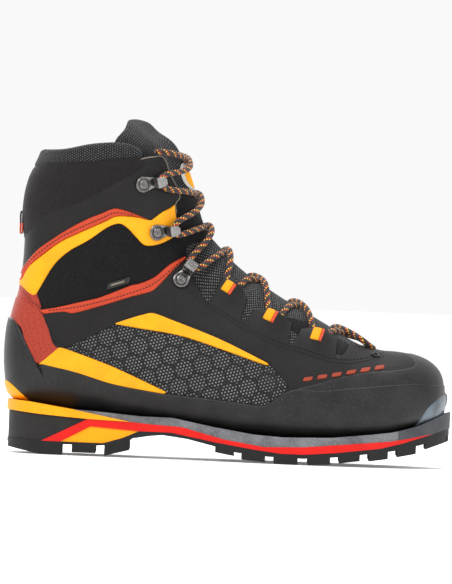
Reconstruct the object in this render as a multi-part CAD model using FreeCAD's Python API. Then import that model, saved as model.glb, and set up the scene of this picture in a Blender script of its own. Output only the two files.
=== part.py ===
import FreeCAD, Part

import math
import os

# Right-foot mountaineering boot, in millimetres. +X points to the toe, +Z up and +Y to the
# inner (medial) side of the foot; the ground is Z = 0.
#
# The upper is one boot-shaped skin, described by flat sections: upright across the forefoot,
# fanned round a point in front of the instep through the heel, level across the shaft.
# Every layer of the upper is the space between two offsets of that skin, and each panel is
# the part of a layer that lies inside its side-view outline.

Vector = FreeCAD.Vector

# ---------------------------------------------------------------- driving dimensions
FAN_X = 16.0            # the point that the ankle sections fan round
FAN_Z = 178.0
HALF_SPAN = 80.0        # prisms along Y reach this far from the middle
LINER_IN = -7.0         # faces of the layers, measured outwards from the skin
LINER_OUT = -2.1
BASE_IN = -2.0
BASE_OUT = 0.0
PANEL_IN = 0.1
PANEL_OUT = 1.3
TRIM_OUT = 1.6
RAND_OUT = 2.2
CAP_OUT = 1.7
PATCH_OUT = 2.4
LINER_SEAM = -12.0      # where the lining's heel and forefoot pieces meet
TONGUE_BACK_IN = -12.0
TONGUE_BACK_OUT = -8.0
TONGUE_FACE_OUT = -0.6
LACE_D = 4.0
LACE_UNDER = 3.4        # height of the lace's middle over the skin where it runs beneath
LACE_OVER = 7.8         # and where it crosses over the other strand
SIDE_POINTS = 16        # points down each side of a section

ANKLE = (-78.0, 118.0)          # the shaft tips about this axis
TONGUE_HINGE = (-40.0, 170.0)   # the tongue's top tips about this one
LOOP_HINGE = (-147.2, 148.5)    # and the pull loop about this one

# ---------------------------------------------------------------- the skin's sections
# origin x, origin z, angle from straight down, ridge radius, floor radius,
# outer side y, inner side y, height of the widest place, squareness below, squareness above
STATIONS = [
    (144.6, FAN_Z, 0, 126.5, 135.5, 4.0, 14.0, 0.45, 2.0, 2.0),
    (143.6, FAN_Z, 0, 118.5, 140.8, -7.0, 23.5, 0.43, 2.2, 2.1),
    (141.2, FAN_Z, 0, 112.8, 143.6, -16.0, 31.5, 0.41, 2.5, 2.2),
    (137.5, FAN_Z, 0, 108.8, 145.6, -22.8, 36.8, 0.39, 2.7, 2.3),
    (132.0, FAN_Z, 0, 105.3, 148.0, -29.5, 41.5, 0.37, 2.9, 2.35),
    (124.0, FAN_Z, 0, 102.6, 150.6, -36.5, 45.5, 0.36, 3.1, 2.4),
    (113.0, FAN_Z, 0, 101.0, 153.6, -43.0, 49.0, 0.35, 3.3, 2.35),
    (99.0, FAN_Z, 0, 99.8, 156.0, -48.5, 51.2, 0.33, 3.4, 2.25),
    (82.0, FAN_Z, 0, 93.5, 158.2, -52.0, 51.8, 0.31, 3.5, 2.1),
    (62.0, FAN_Z, 0, 82.0, 159.6, -53.5, 50.5, 0.30, 3.5, 2.0),
    (40.0, FAN_Z, 0, 70.0, 160.0, -52.5, 47.5, 0.29, 3.5, 1.95),
    (FAN_X, FAN_Z, 0, 56.0, 158.6, -49.5, 44.5, 0.29, 3.5, 1.95),
    (FAN_X, FAN_Z, 12, 49.5, 157.5, -46.5, 42.0, 0.31, 3.4, 1.95),
    (FAN_X, FAN_Z, 25, 45.0, 165.5, -43.5, 40.5, 0.35, 3.3, 1.95),
    (FAN_X, FAN_Z, 36, 42.8, 182.5, -41.5, 39.5, 0.40, 3.2, 2.0),
    (FAN_X, FAN_Z, 43, 42.2, 196.8, -40.8, 39.2, 0.44, 3.2, 2.0),
    (FAN_X, FAN_Z, 47, 42.0, 207.6, -40.4, 39.0, 0.46, 3.1, 2.0),
    (FAN_X, FAN_Z, 50, 42.0, 213.4, -40.2, 39.0, 0.47, 3.0, 2.0),
    (FAN_X, FAN_Z, 53.5, 42.0, 207.6, -40.0, 39.0, 0.49, 2.9, 2.0),
    (FAN_X, FAN_Z, 60, 42.0, 193.0, -40.0, 39.5, 0.50, 2.6, 2.0),
    (FAN_X, FAN_Z, 68, 41.8, 173.5, -41.0, 40.5, 0.50, 2.5, 2.0),
    (FAN_X, FAN_Z, 77, 42.0, 163.0, -42.5, 42.0, 0.50, 2.4, 2.0),
    (FAN_X, FAN_Z, 90, 44.0, 158.0, -44.5, 44.5, 0.50, 2.3, 2.0),
    (FAN_X, 190.0, 90, 48.0, 155.5, -46.5, 46.5, 0.50, 2.3, 2.0),
    (FAN_X, 202.0, 90, 53.0, 150.5, -48.0, 48.0, 0.50, 2.3, 2.0),
    (FAN_X, 213.0, 90, 59.5, 147.0, -48.5, 48.5, 0.50, 2.3, 2.0),
    (FAN_X, 223.0, 90, 72.0, 146.5, -48.0, 48.0, 0.50, 2.3, 2.0),
    (FAN_X, 234.0, 90, 87.0, 147.0, -46.0, 46.0, 0.50, 2.3, 2.0),
]
LAST = len(STATIONS) - 1
TOE_BLEND = 60.0        # over this length the skin turns from facing sideways to facing ahead


def station(u, offset=0.0):
    """The section at station number u, moved outwards by offset."""
    i = min(int(u), LAST - 1)
    t = u - i
    rows = [STATIONS[max(0, min(LAST, i + k))] for k in (-1, 0, 1, 2)]
    row = []
    for a, b, c, d in zip(*rows):
        slope_b = (c - a) / 2
        slope_c = (d - b) / 2
        square = 3 * (c - b) - 2 * slope_b - slope_c
        cube = 2 * (b - c) + slope_b + slope_c
        row.append(b + slope_b * t + square * t * t + cube * t**3)
    ox, oz, angle, ridge, floor, outer, inner, belly, low, high = row
    ahead = max(0.0, (ox - (STATIONS[0][0] - TOE_BLEND)) / TOE_BLEND) ** 3
    ox += offset * ahead
    swell = offset * math.sqrt(max(0.0, 1 - ahead**2))
    return ox, oz, angle, ridge - swell, floor + swell, outer - swell, inner + swell, belly, low, high


def place(section, radius, y):
    """The point at a radius and y in a section's plane."""
    a = math.radians(section[2])
    return Vector(section[0] - math.sin(a) * radius, y, section[1] - math.cos(a) * radius)


def half_loop(section, side, count):
    """Dense (radius, y) points down one side of a section, from the ridge to the floor."""
    ridge, floor, outer, inner, belly, low, high = section[3:]
    middle = (outer + inner) / 2
    width = (inner - outer) / 2
    widest = floor - belly * (floor - ridge)
    points = []
    for i in range(count + 1):
        a = math.pi * i / count
        up = math.cos(a)
        reach = (widest - ridge) if up > 0 else (floor - widest)
        power = high if up > 0 else low
        radius = widest - math.copysign(abs(up) ** (2 / power), up) * reach
        points.append((radius, middle + side * width * abs(math.sin(a)) ** (2 / power)))
    return points


def half_row(section, side):
    """Evenly spaced points down one side of a section."""
    loop = half_loop(section, side, 200)
    along = [0.0]
    for (r0, y0), (r1, y1) in zip(loop, loop[1:]):
        along.append(along[-1] + math.hypot(r1 - r0, y1 - y0))
    points = []
    k = 0
    for i in range(SIDE_POINTS + 1):
        target = along[-1] * i / SIDE_POINTS
        while k < len(along) - 2 and along[k + 1] < target:
            k += 1
        t = (target - along[k]) / (along[k + 1] - along[k])
        r = loop[k][0] + t * (loop[k + 1][0] - loop[k][0])
        y = loop[k][1] + t * (loop[k + 1][1] - loop[k][1])
        points.append(place(section, r, y))
    return points


FORMS = {}


def form(offset):
    """The solid inside the skin moved outwards by offset."""
    if offset in FORMS:
        return FORMS[offset]
    sections = [station(i / 2, offset) for i in range(2 * LAST + 1)]
    rows = [half_row(s, -1) + half_row(s, 1)[::-1][1:] for s in sections]
    surface = Part.BSplineSurface()
    surface.interpolate(rows)
    for i in range(1, surface.NbUPoles + 1):
        surface.setPole(i, surface.NbVPoles, surface.getPole(i, 1))
    u0, u1, v0, v1 = surface.bounds()
    middle = surface.getVKnot((surface.NbVKnots + 1) // 2)
    faces = [surface.toShape(u0, u1, v0, middle), surface.toShape(u0, u1, middle, v1)]
    for u in (u0, u1):
        rim = surface.uIso(u)
        faces.append(Part.Face(Part.Wire([rim.toShape(v0, middle), rim.toShape(middle, v1)])))
    skin = Part.Compound(faces)
    skin.sewShape(1e-5)
    solid = Part.makeSolid(skin.Shells[0])
    if solid.Volume < 0:
        solid.reverse()
    FORMS[offset] = solid
    return solid


LAYERS = {}


def layer(inside, outside):
    """The wall between two offsets of the skin."""
    if (inside, outside) not in LAYERS:
        LAYERS[(inside, outside)] = form(outside).cut(form(inside))
    return LAYERS[(inside, outside)]


def on_crest(u, y, offset):
    """The point of the upper half of the skin at station u and sideways place y."""
    section = station(u, offset)
    ridge, floor, outer, inner, belly, low, high = section[3:]
    middle = (outer + inner) / 2
    width = (inner - outer) / 2
    widest = floor - belly * (floor - ridge)
    side = min(1.0, abs(y - middle) / width)
    return place(section, widest - (1 - side**high) ** (1 / high) * (widest - ridge), y)


def station_through(x, z):
    """The station number whose plane passes through a side-view point."""
    low, high = 0.0, float(LAST)
    for _ in range(40):
        u = (low + high) / 2
        section = station(u)
        a = math.radians(section[2])
        ahead = (x - section[0]) * math.cos(a) - (z - section[1]) * math.sin(a)
        if ahead < 0:
            low = u
        else:
            high = u
    return (low + high) / 2


def on_side(x, z, side, offset):
    """The point of the skin seen at (x, z) from one side: -1 the outer side, 1 the inner."""
    section = station(station_through(x, z), offset)
    ridge, floor, outer, inner, belly, low, high = section[3:]
    a = math.radians(section[2])
    radius = (section[0] - x) * math.sin(a) + (section[1] - z) * math.cos(a)
    widest = floor - belly * (floor - ridge)
    reach, power = (widest - ridge, high) if radius < widest else (floor - widest, low)
    share = max(0.0, 1 - min(1.0, abs(radius - widest) / reach) ** power) ** (1 / power)
    return Vector(x, (outer + inner) / 2 + side * (inner - outer) / 2 * share, z)


# ---------------------------------------------------------------- drawing aids
def outline(points):
    """A closed side-view face through (x, z) points, joined by straight lines."""
    wire = Part.makePolygon([Vector(x, -HALF_SPAN, z) for x, z in points + points[:1]])
    return Part.Face(wire)


def prism(points):
    """A side-view outline carried right across the boot."""
    return outline(points).extrude(Vector(0, 2 * HALF_SPAN, 0))


def block(x0, x1, y0, y1, z0, z1):
    return Part.makeBox(x1 - x0, y1 - y0, z1 - z0, Vector(x0, y0, z0))


def half(side):
    """Everything on one side of the boot."""
    if side < 0:
        return block(-200, 200, -HALF_SPAN - 1, 0, -50, 300)
    return block(-200, 200, 0, HALF_SPAN + 1, -50, 300)


def one(shape):
    """The shape as a single solid, leaving out crumbs that a cut may shed."""
    solids = sorted(shape.Solids, key=lambda s: s.Volume, reverse=True)
    kept = [s for s in solids if s.Volume > 3.0]
    return kept[0] if len(kept) == 1 else Part.Compound(kept)


NODES = {}
SIDES = ((-1, "lateral"), (1, "medial"))


def keep(name, shape):
    NODES[name] = one(shape)


def panel(inside, outside, points, cutters=()):
    """A panel of the upper: the part of a layer within an outline, less other outlines."""
    shape = layer(inside, outside).common(prism(points))
    for cutter in cutters:
        shape = shape.cut(cutter)
    return shape


# ---------------------------------------------------------------- side-view lines
GREY_TOP = [
    (-134, 35), (-105, 31), (-86, 30), (-59, 28), (-38, 28), (-10, 23), (18, 19), (38, 18),
    (70, 19), (96, 22), (111, 24), (126, 28), (129, 29), (146, 37), (156, 41),
]
RAND_TOP = [
    (-129, 62), (-105, 57), (-79, 50), (-47, 45), (-18, 43), (3, 41), (20, 39), (26, 40),
    (37, 48), (52, 53),
]
STEP_LINE = [(52, 44), (87, 53), (125, 57), (135, 56), (156, 56)]
RED_TOP = [
    (-95, 25), (-66, 24), (-52, 23), (-31, 22), (-3, 15), (25, 11), (52, 12), (81, 15),
    (111, 18), (126, 21), (140, 24),
]
RED_LOW = [
    (-93, 20), (-59, 18), (-38, 18), (-10, 13), (18, 9), (37, 7), (52, 7), (74, 9),
    (104, 13), (119, 17), (140, 24),
]
RED_SLANT = [(-126, 9), (-113, 9), (-93, 20), (-95, 25)]
ARCH = [(-113, 9), (-93, 20), (-60, 18), (-71, 13), (-84, 9)]
THROAT = [
    (106, 77.6), (80, 81), (71, 80), (58, 84), (40, 89), (27, 95), (8, 103), (-8, 117), (-20, 116),
    (-28, 127), (-33, 138),
]
FOOT_TOP = [
    (-165, 105), (-143, 105), (-137, 101), (-130, 97), (-119, 99), (-105, 103), (-90, 107),
    (-69, 116), (-54, 122), (-44, 131), (-33, 138),
]
SHAFT_LOW = [
    (-165, 114), (-146, 114), (-138, 108), (-134, 107), (-131, 112), (-122, 128), (-112, 138),
    (-99, 146), (-87, 155), (-79, 158), (-73, 155), (-68, 150), (-61, 144), (-52, 145),
    (-44, 149), (-38, 153),
]
CUFF_FRONT = [(-41, 166), (-42, 173), (-39, 177), (-41, 183), (-46, 192), (-49, 200), (-52, 205)]
CUFF_TOP = [
    (-66, 202), (-80, 194), (-103, 179), (-119, 171), (-134, 161), (-141, 152), (-147, 147),
    (-165, 147),
]

# ---------------------------------------------------------------- sole
PLAN = [
    (150.5, 8), (148, -5), (142, -16), (133, -27), (120, -37.5), (104, -46), (85, -51.5),
    (62, -53.5), (40, -52.5), (16, -48.5), (-10, -42.5), (-35, -38.5), (-60, -37.5), (-85, -38.5),
    (-108, -38.5), (-126, -34.5), (-139, -26.5), (-147, -14), (-149.5, 0), (-147, 14),
    (-139, 26.5), (-126, 34.5), (-108, 38), (-85, 38), (-60, 36.5), (-35, 35.5), (-10, 37.5),
    (16, 41.5), (40, 46), (62, 49.8), (85, 51.6), (104, 50.5), (120, 46), (133, 39), (142, 30),
    (148, 20),
]


def sole_column(grow=0.0):
    """The sole's plan, moved outwards by grow, as an upright column."""
    count = len(PLAN)
    points = []
    for i, (x, y) in enumerate(PLAN):
        ax, ay = PLAN[i - 1]
        bx, by = PLAN[(i + 1) % count]
        length = math.hypot(bx - ax, by - ay)
        points.append(Vector(x - (by - ay) / length * -grow * -1, y + (bx - ax) / length * -grow * -1, -5))
    curve = Part.BSplineCurve()
    curve.interpolate(Points=points, PeriodicFlag=True)
    face = Part.Face(Part.Wire([curve.toShape()]))
    return face.extrude(Vector(0, 0, 80))


LUG_BASE = [
    (-165, 7.5), (-112, 7.2), (-88, 7.2), (-70, 8.5), (-64, 13), (-53, 15), (-44, 16), (-27, 14),
    (-11, 10.5), (6, 6.4), (28, 4.6), (52, 4.2), (74, 6), (92, 8.4), (112, 11.4), (131, 16), (160, 26),
]
HEEL_TOP = [(-165, 11), (-126, 9), (-84, 9), (-71, 13), (-60, 18)]
# from x, to x, height at each end, for every row of lugs
LUG_ROWS = [
    (-152, -127, 4.5, 0), (-127, -112, 0, 0), (-105, -89, 2, 2), (-83, -66, 0.5, 5),
    (-8, 5, 6, 4), (10, 26, 2, 0.8), (32, 48, 0, 0), (55, 70, 0, 1), (76, 90, 2, 4),
    (96, 109, 4, 6), (115, 128, 7.4, 10), (134, 153, 13, 20),
]
LUG_HALF_GAP = 7.0      # half the channel down the middle of the tread
LUG_CENTRE = 4.2        # half-width of the small lugs in that channel


def sole():
    """Tread, midsole layers and welts, from the ground up."""
    column = sole_column()
    base = column.common(prism(HEEL_TOP + RED_LOW[2:] + [(160, 31), (160, 26)] + LUG_BASE[::-1][1:]))
    for x0, x1, z0, z1 in LUG_ROWS:
        lug = prism([(x0, z0), (x1, z1), (x1, z1 + 9), (x0, z0 + 9)])
        under = prism([(-165, -5)] + [(x, z + 0.4) for x, z in LUG_BASE] + [(160, -5)])
        lug = lug.common(under).common(column)
        middle = 0.0 if x0 < -60 else 3.0
        channel = block(x0 - 1, x1 + 1, middle - LUG_HALF_GAP, middle + LUG_HALF_GAP, -2, 40)
        sides = lug.cut(channel)
        base = base.fuse(sides)
        small = block(x0 + 3, x1 - 3, middle - LUG_CENTRE, middle + LUG_CENTRE, -2, 40)
        base = base.fuse(lug.common(small))
    keep("outsole", base.removeSplitter())

    slim = sole_column(-0.5)
    keep("heel_block", slim.common(prism(
        [(-165, 11.05), (-126, 9.05), (-95.2, 25), (-127, 27), (-149, 29), (-165, 29)])))
    red = RED_SLANT[:2] + [(-93, 20)] + RED_LOW[1:] + RED_TOP[::-1]
    keep("midsole_red", sole_column(0.2).common(prism(red)))
    keep("arch_insert", slim.common(prism(ARCH)))
    welt = [(-165, 29), (-149, 29), (-127, 27), (-95, 25), (-66, 24.1), (-105, 31), (-134, 35), (-146, 36), (-165, 36)]
    keep("heel_welt", sole_column(0.9).common(prism(welt)).cut(form(BASE_OUT + 0.05)))
    grey = [(-105, 31), (-66, 24.1)] + RED_TOP[2:9] + [(116, 19), (116, 25.2)] + GREY_TOP[1:11][::-1]
    keep("midsole_grey", sole_column(-0.2).common(prism(grey)).cut(form(BASE_OUT + 0.05)))
    toe = [(116, 19.0), (126, 21), (140, 24), (160, 31), (160, 42)] + GREY_TOP[11:14][::-1] + [(116, 25.2)]
    keep("toe_welt", sole_column(0.5).common(prism(toe)).cut(form(BASE_OUT + 0.05)))


# ---------------------------------------------------------------- upper
def upper():
    """Linings, outer panels, trims and rubber, from the inside out."""
    foot_split = [(-165, 92), (-100, 98), (-60, 112), (-30, 128), (0, 150), (60, 150)]
    shaft_split = [(-165, 124), (-120, 132), (-80, 146), (-45, 160), (-10, 172), (60, 172)]
    low = [(-165, 0), (160, 0), (160, 150)]
    high = [(60, 260), (-165, 260)]
    shaft_front = [(-52, 174), (-56, 185), (-62, 198), (-66, 206), (-70, 217)]

    insole = form(LINER_OUT).common(prism(
        [(x, z + 5.4) for x, z in GREY_TOP] + [(156, 0), (-165, 0), (-165, 38)]))
    keep("insole_board", insole)
    sock = panel(LINER_IN, LINER_OUT, low + foot_split[::-1], [insole])
    ahead = block(LINER_SEAM, 200, -HALF_SPAN, HALF_SPAN, -10, 300)
    keep("heel_liner", sock.cut(ahead))
    keep("forefoot_liner", sock.common(ahead))
    keep("ankle_liner", panel(LINER_IN, LINER_OUT, inset_band(foot_split, shaft_split)))
    rim = [(-165, 204.5), (-125, 204.5), (-101, 209), (-83, 211), (-70, 217)]
    keep("shaft_liner", panel(LINER_IN, LINER_OUT, shaft_split[:3] + [(-49, 158.5)] + shaft_front[:-1] + rim[::-1]))
    bed = form(LINER_IN - 0.1).common(prism(
        [(-165, 0), (160, 0), (160, 60)] + [(x, z + 11.5) for x, z in GREY_TOP[::-1]] + [(-165, 46)]))
    keep("footbed", bed.cut(insole))

    # outer base of the foot, closed under the sole side of the skin
    quarter = [(-116, 0), (-116, 73), (-126, 90), (-130, 97)] + FOOT_TOP[4:] + THROAT[5:][::-1][1:] \
        + [(28, 65), (40, 50), (40, 0)]
    front = [(40, 0), (40, 50), (28, 65), (27, 95)] + THROAT[:5][::-1] + [(112, 84), (160, 84), (160, 0)]
    heel = [(-165, 0), (-116, 0), (-116, 73), (-126, 90), (-130, 97), (-137, 101), (-143, 105), (-165, 105)]
    base = layer(BASE_IN, BASE_OUT)
    for side, name in SIDES:
        keep("quarter_mesh_" + name, base.common(prism(quarter)).common(half(side)))
    keep("vamp", base.common(prism(front)))
    keep("heel_backing", base.common(prism(heel)))
    tongue_low = THROAT[:-1][::1] + [(-30.5, 132), (-2, 147), (60, 150), (130, 100), (108, 84)]
    keep("tongue_lower", base.common(prism(tongue_low)).cut(prism(front)).cut(prism(quarter)))
    tongue_mid = [(-30.5, 132.6), (-32.8, 138), (-37.2, 152.5), (-39.9, 165.5), (-40.8, 173), (-38.6, 175.6),
                  (60, 175.6), (60, 150.5), (-2, 147.5)]
    keep("tongue_middle", base.common(prism(tongue_mid)))

    gusset = FOOT_TOP[3:-1] + [(-33.4, 138), (-38.0, 152.4)] + [(x, z - 0.4) for x, z in SHAFT_LOW[4:-1][::-1]]
    for side, name in SIDES:
        keep("gusset_" + name, base.common(prism(gusset)).common(half(side)))
    strap = [(-165, 105.1), (-143, 105.1), (-137, 101.1), (-130.1, 97.1), (-131.2, 111.2), (-134, 106.5),
             (-138, 107.5), (-146, 113.5), (-165, 113.5)]
    keep("achilles_strip", base.common(prism(strap)))

    # shaft
    cuff = SHAFT_LOW + CUFF_FRONT + CUFF_TOP
    keep("cuff", base.common(prism(cuff)))
    band_low = [(-165, 192), (-140, 192), (-131, 195), (-114, 197), (-99, 198), (-86, 200), (-72, 202)]
    collar = [(-165, 147.5), (-147, 147.5)] + [(x, z + 0.5) for x, z in CUFF_TOP[:-2][::-1]] \
        + [(-72, 202)] + band_low[::-1][1:]
    keep("collar_padding", panel(BASE_IN, 0.8, collar))
    top = [(-165, 206), (-132, 206), (-119, 207), (-101, 211), (-83, 213), (-74, 213)]
    keep("collar_band", panel(BASE_IN, 0.8, [(x, z + 0.3) for x, z in band_low] + top[::-1]))

    # tongue top: a broad back inside the shaft, and a face between the cuff's front edges
    back = [(-50, 176), (-20, 176), (-20, 214), (-44, 214), (-57, 223), (-66, 230), (-71, 227), (-76, 223),
            (-82, 216), (-84, 206), (-76, 196), (-62, 186)]
    face = [(-35.5, 176), (-10, 176), (-10, 214), (-44, 214), (-57, 223), (-66, 230), (-69, 228.5),
            (-63, 221), (-55, 213), (-47, 204), (-41.5, 192), (-36.5, 184)]
    tongue = layer(TONGUE_BACK_IN, TONGUE_BACK_OUT).common(prism(back))
    tongue = tongue.fuse(layer(TONGUE_BACK_OUT - 0.5, TONGUE_FACE_OUT).common(prism(face)))
    keep("tongue_top", tongue)
    label = layer(-0.55, 0.2).common(prism([(-40, 183.5), (-10, 183.5), (-10, 201), (-44, 201)]))
    keep("tongue_label", label.common(block(-60, 0, -8, 8, 170, 210)))

    # rubber
    tab = prism([(129, 29), (132, 35), (136, 41), (141, 45), (145, 48), (156, 50), (156, 30)])
    heel_tab_line = [(-165, 48), (-150, 48), (-148, 48), (-141, 42), (-134, 35), (-146, 36), (-165, 36)]
    rand = GREY_TOP + STEP_LINE[::-1] + RAND_TOP[::-1]
    keep("rand", panel(PANEL_IN, RAND_OUT, rand, [tab]))
    keep("toe_tab", layer(PANEL_IN, RAND_OUT + 0.4).common(tab).cut(prism(
        [(100, 0), (160, 0), (160, 41.5)] + GREY_TOP[::-1][1:4])))
    cap = STEP_LINE + [(156, 84), (113, 84), (113, 79), (121, 75), (124, 69), (112, 66), (87, 63), (52, 53)]
    keep("toe_cap", panel(PANEL_IN, CAP_OUT, cap))
    counter = [(-165, 36), (-146, 36), (-134, 35), (-129, 62), (-135, 67), (-139, 76), (-145, 90), (-165, 92)]
    heel_tab = prism(heel_tab_line)
    keep("heel_counter", panel(PANEL_IN, RAND_OUT, counter, [heel_tab]))
    keep("heel_tab", layer(PANEL_IN, RAND_OUT + 0.4).common(heel_tab))

    # overlays
    heel_panel = [(-165, 105), (-143, 105), (-137, 101), (-130, 97), (-125, 89), (-116, 73), (-129, 62),
                  (-135, 67), (-139, 76), (-145, 90), (-165, 92)]
    keep("heel_panel", panel(PANEL_IN, PANEL_OUT, heel_panel))
    low_stripe = [(-116, 73), (-80, 61), (-42, 45), (-47, 45), (-79, 50), (-105, 57), (-129, 62)]
    high_stripe = [(-80, 90), (-62, 96), (-54, 98), (-6, 81), (28, 66), (23, 67), (-6, 76),
                   (-34, 84), (-62, 88)]
    red_low = [(-130, 97), (-119, 99), (-105, 103), (-90, 107), (-69, 116), (-64, 117), (-54, 122),
               (-44, 131), (-34, 137), (-33, 136), (-41, 128), (-48, 120), (-55, 113), (-69, 109),
               (-89, 102), (-108, 96), (-114, 97), (-126, 95)]
    stay = [(-116, 73), (-125, 89), (-126, 95), (-114, 97), (-108, 96), (-89, 102), (-69, 109), (-55, 113),
            (-48, 120), (-41, 128), (-33, 136), (-29, 130), (-27, 122), (-24, 115), (-17, 107), (-7, 124), (9, 110), (6, 97),
            (14, 102), (40, 94), (39, 81), (47, 91), (71, 85), (71, 73), (80, 81), (105, 78), (113, 84),
            (113, 79), (121, 75), (124, 69), (112, 66), (87, 63), (52, 53), (37, 48), (26, 40), (40, 50),
            (28, 65), (28, 66), (-6, 81), (-54, 98), (-62, 96), (-80, 90)]
    overlay = layer(PANEL_IN, PANEL_OUT)
    for side, name in SIDES:
        keep("stripe_low_" + name, overlay.common(prism(low_stripe)).common(half(side)))
        keep("stripe_high_" + name, overlay.common(prism(high_stripe)).common(half(side)))
        keep("trim_foot_" + name, layer(PANEL_IN, TRIM_OUT).common(prism(red_low)).common(half(side)))
    trunk = [p for p in stay if p != (26, 40)]
    keep("eyestay", overlay.common(prism(trunk)))
    red_cuff = [(-165, 118), (-144, 118), (-143, 124), (-140, 129), (-133, 138), (-123, 146), (-113, 153),
                (-101, 160), (-92, 164), (-83, 168), (-80, 168), (-69, 165), (-58, 161), (-68, 163),
                (-81, 163), (-87, 160), (-107, 150), (-118, 144), (-128, 136), (-138, 127), (-141, 122),
                (-144, 117), (-165, 117)]
    yellow_cuff = [(-165, 117), (-144, 117), (-141, 122), (-138, 127), (-128, 136), (-118, 144),
                   (-107, 150), (-87, 160), (-81, 163), (-68, 163), (-58, 161), (-55, 163), (-50, 167),
                   (-45, 170), (-42, 173), (-41, 166), (-38, 155), (-39, 153), (-44, 149), (-52, 145),
                   (-61, 144), (-68, 150), (-73, 155), (-79, 158), (-87, 155), (-99, 146), (-112, 138),
                   (-122, 128), (-131, 112), (-134, 107), (-138, 108), (-146, 114), (-165, 114)]
    keep("cuff_trim_red", layer(PANEL_IN, TRIM_OUT).common(prism(red_cuff)))
    keep("cuff_trim_yellow", layer(PANEL_IN, PANEL_OUT).common(prism(yellow_cuff)))
    tag = prism([(-86, 113), (-71, 118), (-70, 122), (-85, 117)])
    keep("side_tag", layer(0.1, 0.8).common(tag).common(half(-1)).cut(prism(red_low)))


def inset_band(lower, upper_line):
    """The band between two lines, drawn in by a hair so that it only meets its neighbours."""
    return [(x, z + 0.4) for x, z in lower] + [(x, z - 0.4) for x, z in upper_line[::-1]]


# ---------------------------------------------------------------- metal and webbing
def stand(shape, at, outwards, ahead):
    """Put a piece drawn with +Z outwards and +X ahead onto the boot."""
    z = Vector(outwards)
    z.normalize()
    x = ahead - z * ahead.dot(z)
    x.normalize()
    y = z.cross(x)
    shape = shape.copy()
    shape.Placement = FreeCAD.Placement(FreeCAD.Matrix(
        x.x, y.x, z.x, at.x, x.y, y.y, z.y, at.y, x.z, y.z, z.z, at.z, 0, 0, 0, 1))
    return shape


def skin_frame(x, z, side, offset):
    """A point of the skin and its outward direction."""
    at = on_side(x, z, side, offset)
    step_x = on_side(x + 1, z, side, offset) - on_side(x - 1, z, side, offset)
    step_z = on_side(x, z + 1, side, offset) - on_side(x, z - 1, side, offset)
    out = step_x.cross(step_z)
    out.normalize()
    if out.y * side < 0:
        out = out * -1
    return at, out


PLATE_T = 1.0
RIVET_R = 3.3
HOOK_W = 5.2
HOOK_REACH = 6.8
HOOK_WIRE = 1.3
HOOK_OPEN = 7.6


def dome(radius, height):
    """A rivet head: a short edge and a domed top."""
    ball_r = (radius**2 + height**2) / (2 * height)
    head = Part.makeSphere(ball_r, Vector(0, 0, height - ball_r))
    return head.common(Part.makeCylinder(radius, height + 1)).fuse(Part.makeCylinder(radius, 0.4)).removeSplitter()


def hook_shape():
    """An open lace hook: foot, upright and lip, opening towards +X."""
    profile = Part.makePolygon([
        Vector(-HOOK_WIRE, 0, 0), Vector(HOOK_REACH - 2.6, 0, 0), Vector(HOOK_REACH - 2.6, 0, HOOK_WIRE),
        Vector(0, 0, HOOK_WIRE), Vector(0, 0, HOOK_WIRE + HOOK_OPEN),
        Vector(HOOK_REACH - 3.2, 0, HOOK_WIRE + HOOK_OPEN), Vector(HOOK_REACH - 3.2, 0, 2 * HOOK_WIRE + HOOK_OPEN),
        Vector(-HOOK_WIRE, 0, 2 * HOOK_WIRE + HOOK_OPEN), Vector(-HOOK_WIRE, 0, 0)])
    solid = Part.Face(profile).extrude(Vector(0, HOOK_W, 0))
    solid.translate(Vector(0, -HOOK_W / 2, 0))
    return solid


def hook_plate(length):
    """A teardrop plate from the rivet (at the origin) to the hook (ahead)."""
    round_end = Part.makeCylinder(5.4, PLATE_T)
    small_end = Part.makeCylinder(3.4, PLATE_T, Vector(length, 0, 0))
    neck = Part.Face(Part.makePolygon([
        Vector(0, 5.2, 0), Vector(length, 3.4, 0), Vector(length, -3.4, 0), Vector(0, -5.2, 0),
        Vector(0, 5.2, 0)])).extrude(Vector(0, 0, PLATE_T))
    return round_end.fuse(small_end).fuse(neck).removeSplitter()


# name, rivet (x, z), hook (x, z), skin offset that the plate sits on
HARDWARE = [
    ("hook_high", (-64, 185), (-53, 188), 0.3),
    ("hook_low", (-54, 153), (-44, 155.5), 1.5),
    ("ankle_lock", (-36, 121), (-30, 129.5), 1.5),
]


HELD = {}               # where each hook holds the lace: its foot and its three directions


def hardware():
    for title, rivet_at, hook_at, lift in HARDWARE:
        for side, name in SIDES:
            at, out = skin_frame(rivet_at[0], rivet_at[1], side, lift)
            tip, tip_out = skin_frame(hook_at[0], hook_at[1], side, lift)
            mean = out + tip_out
            mean.normalize()
            ahead = tip - at
            length = ahead.Length
            base = at + mean * 0.35
            plate = stand(hook_plate(length - 4), base, mean, ahead)
            across = ahead - mean * ahead.dot(mean)
            foot = base + mean * (PLATE_T + 0.0) + across * 0.62
            across.normalize()
            hook = stand(hook_shape(), foot, mean, ahead)
            rivet = stand(dome(RIVET_R, 1.9), base + mean * PLATE_T, mean, ahead)
            keep(title + "_" + name, plate.fuse(hook).fuse(rivet))
            y = mean.cross(across)
            HELD[(title, side)] = (foot, across, y, mean)
            near = plate.fuse(hook)
            for node in ("cuff", "cuff_trim_yellow", "cuff_trim_red", "eyestay", "trim_foot_" + name):
                if NODES[node].common(near).Volume > 1e-4:
                    keep(node, NODES[node].cut(near))


LOOP_AT = [(-4, 116), (25, 98), (57, 86)]


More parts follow.
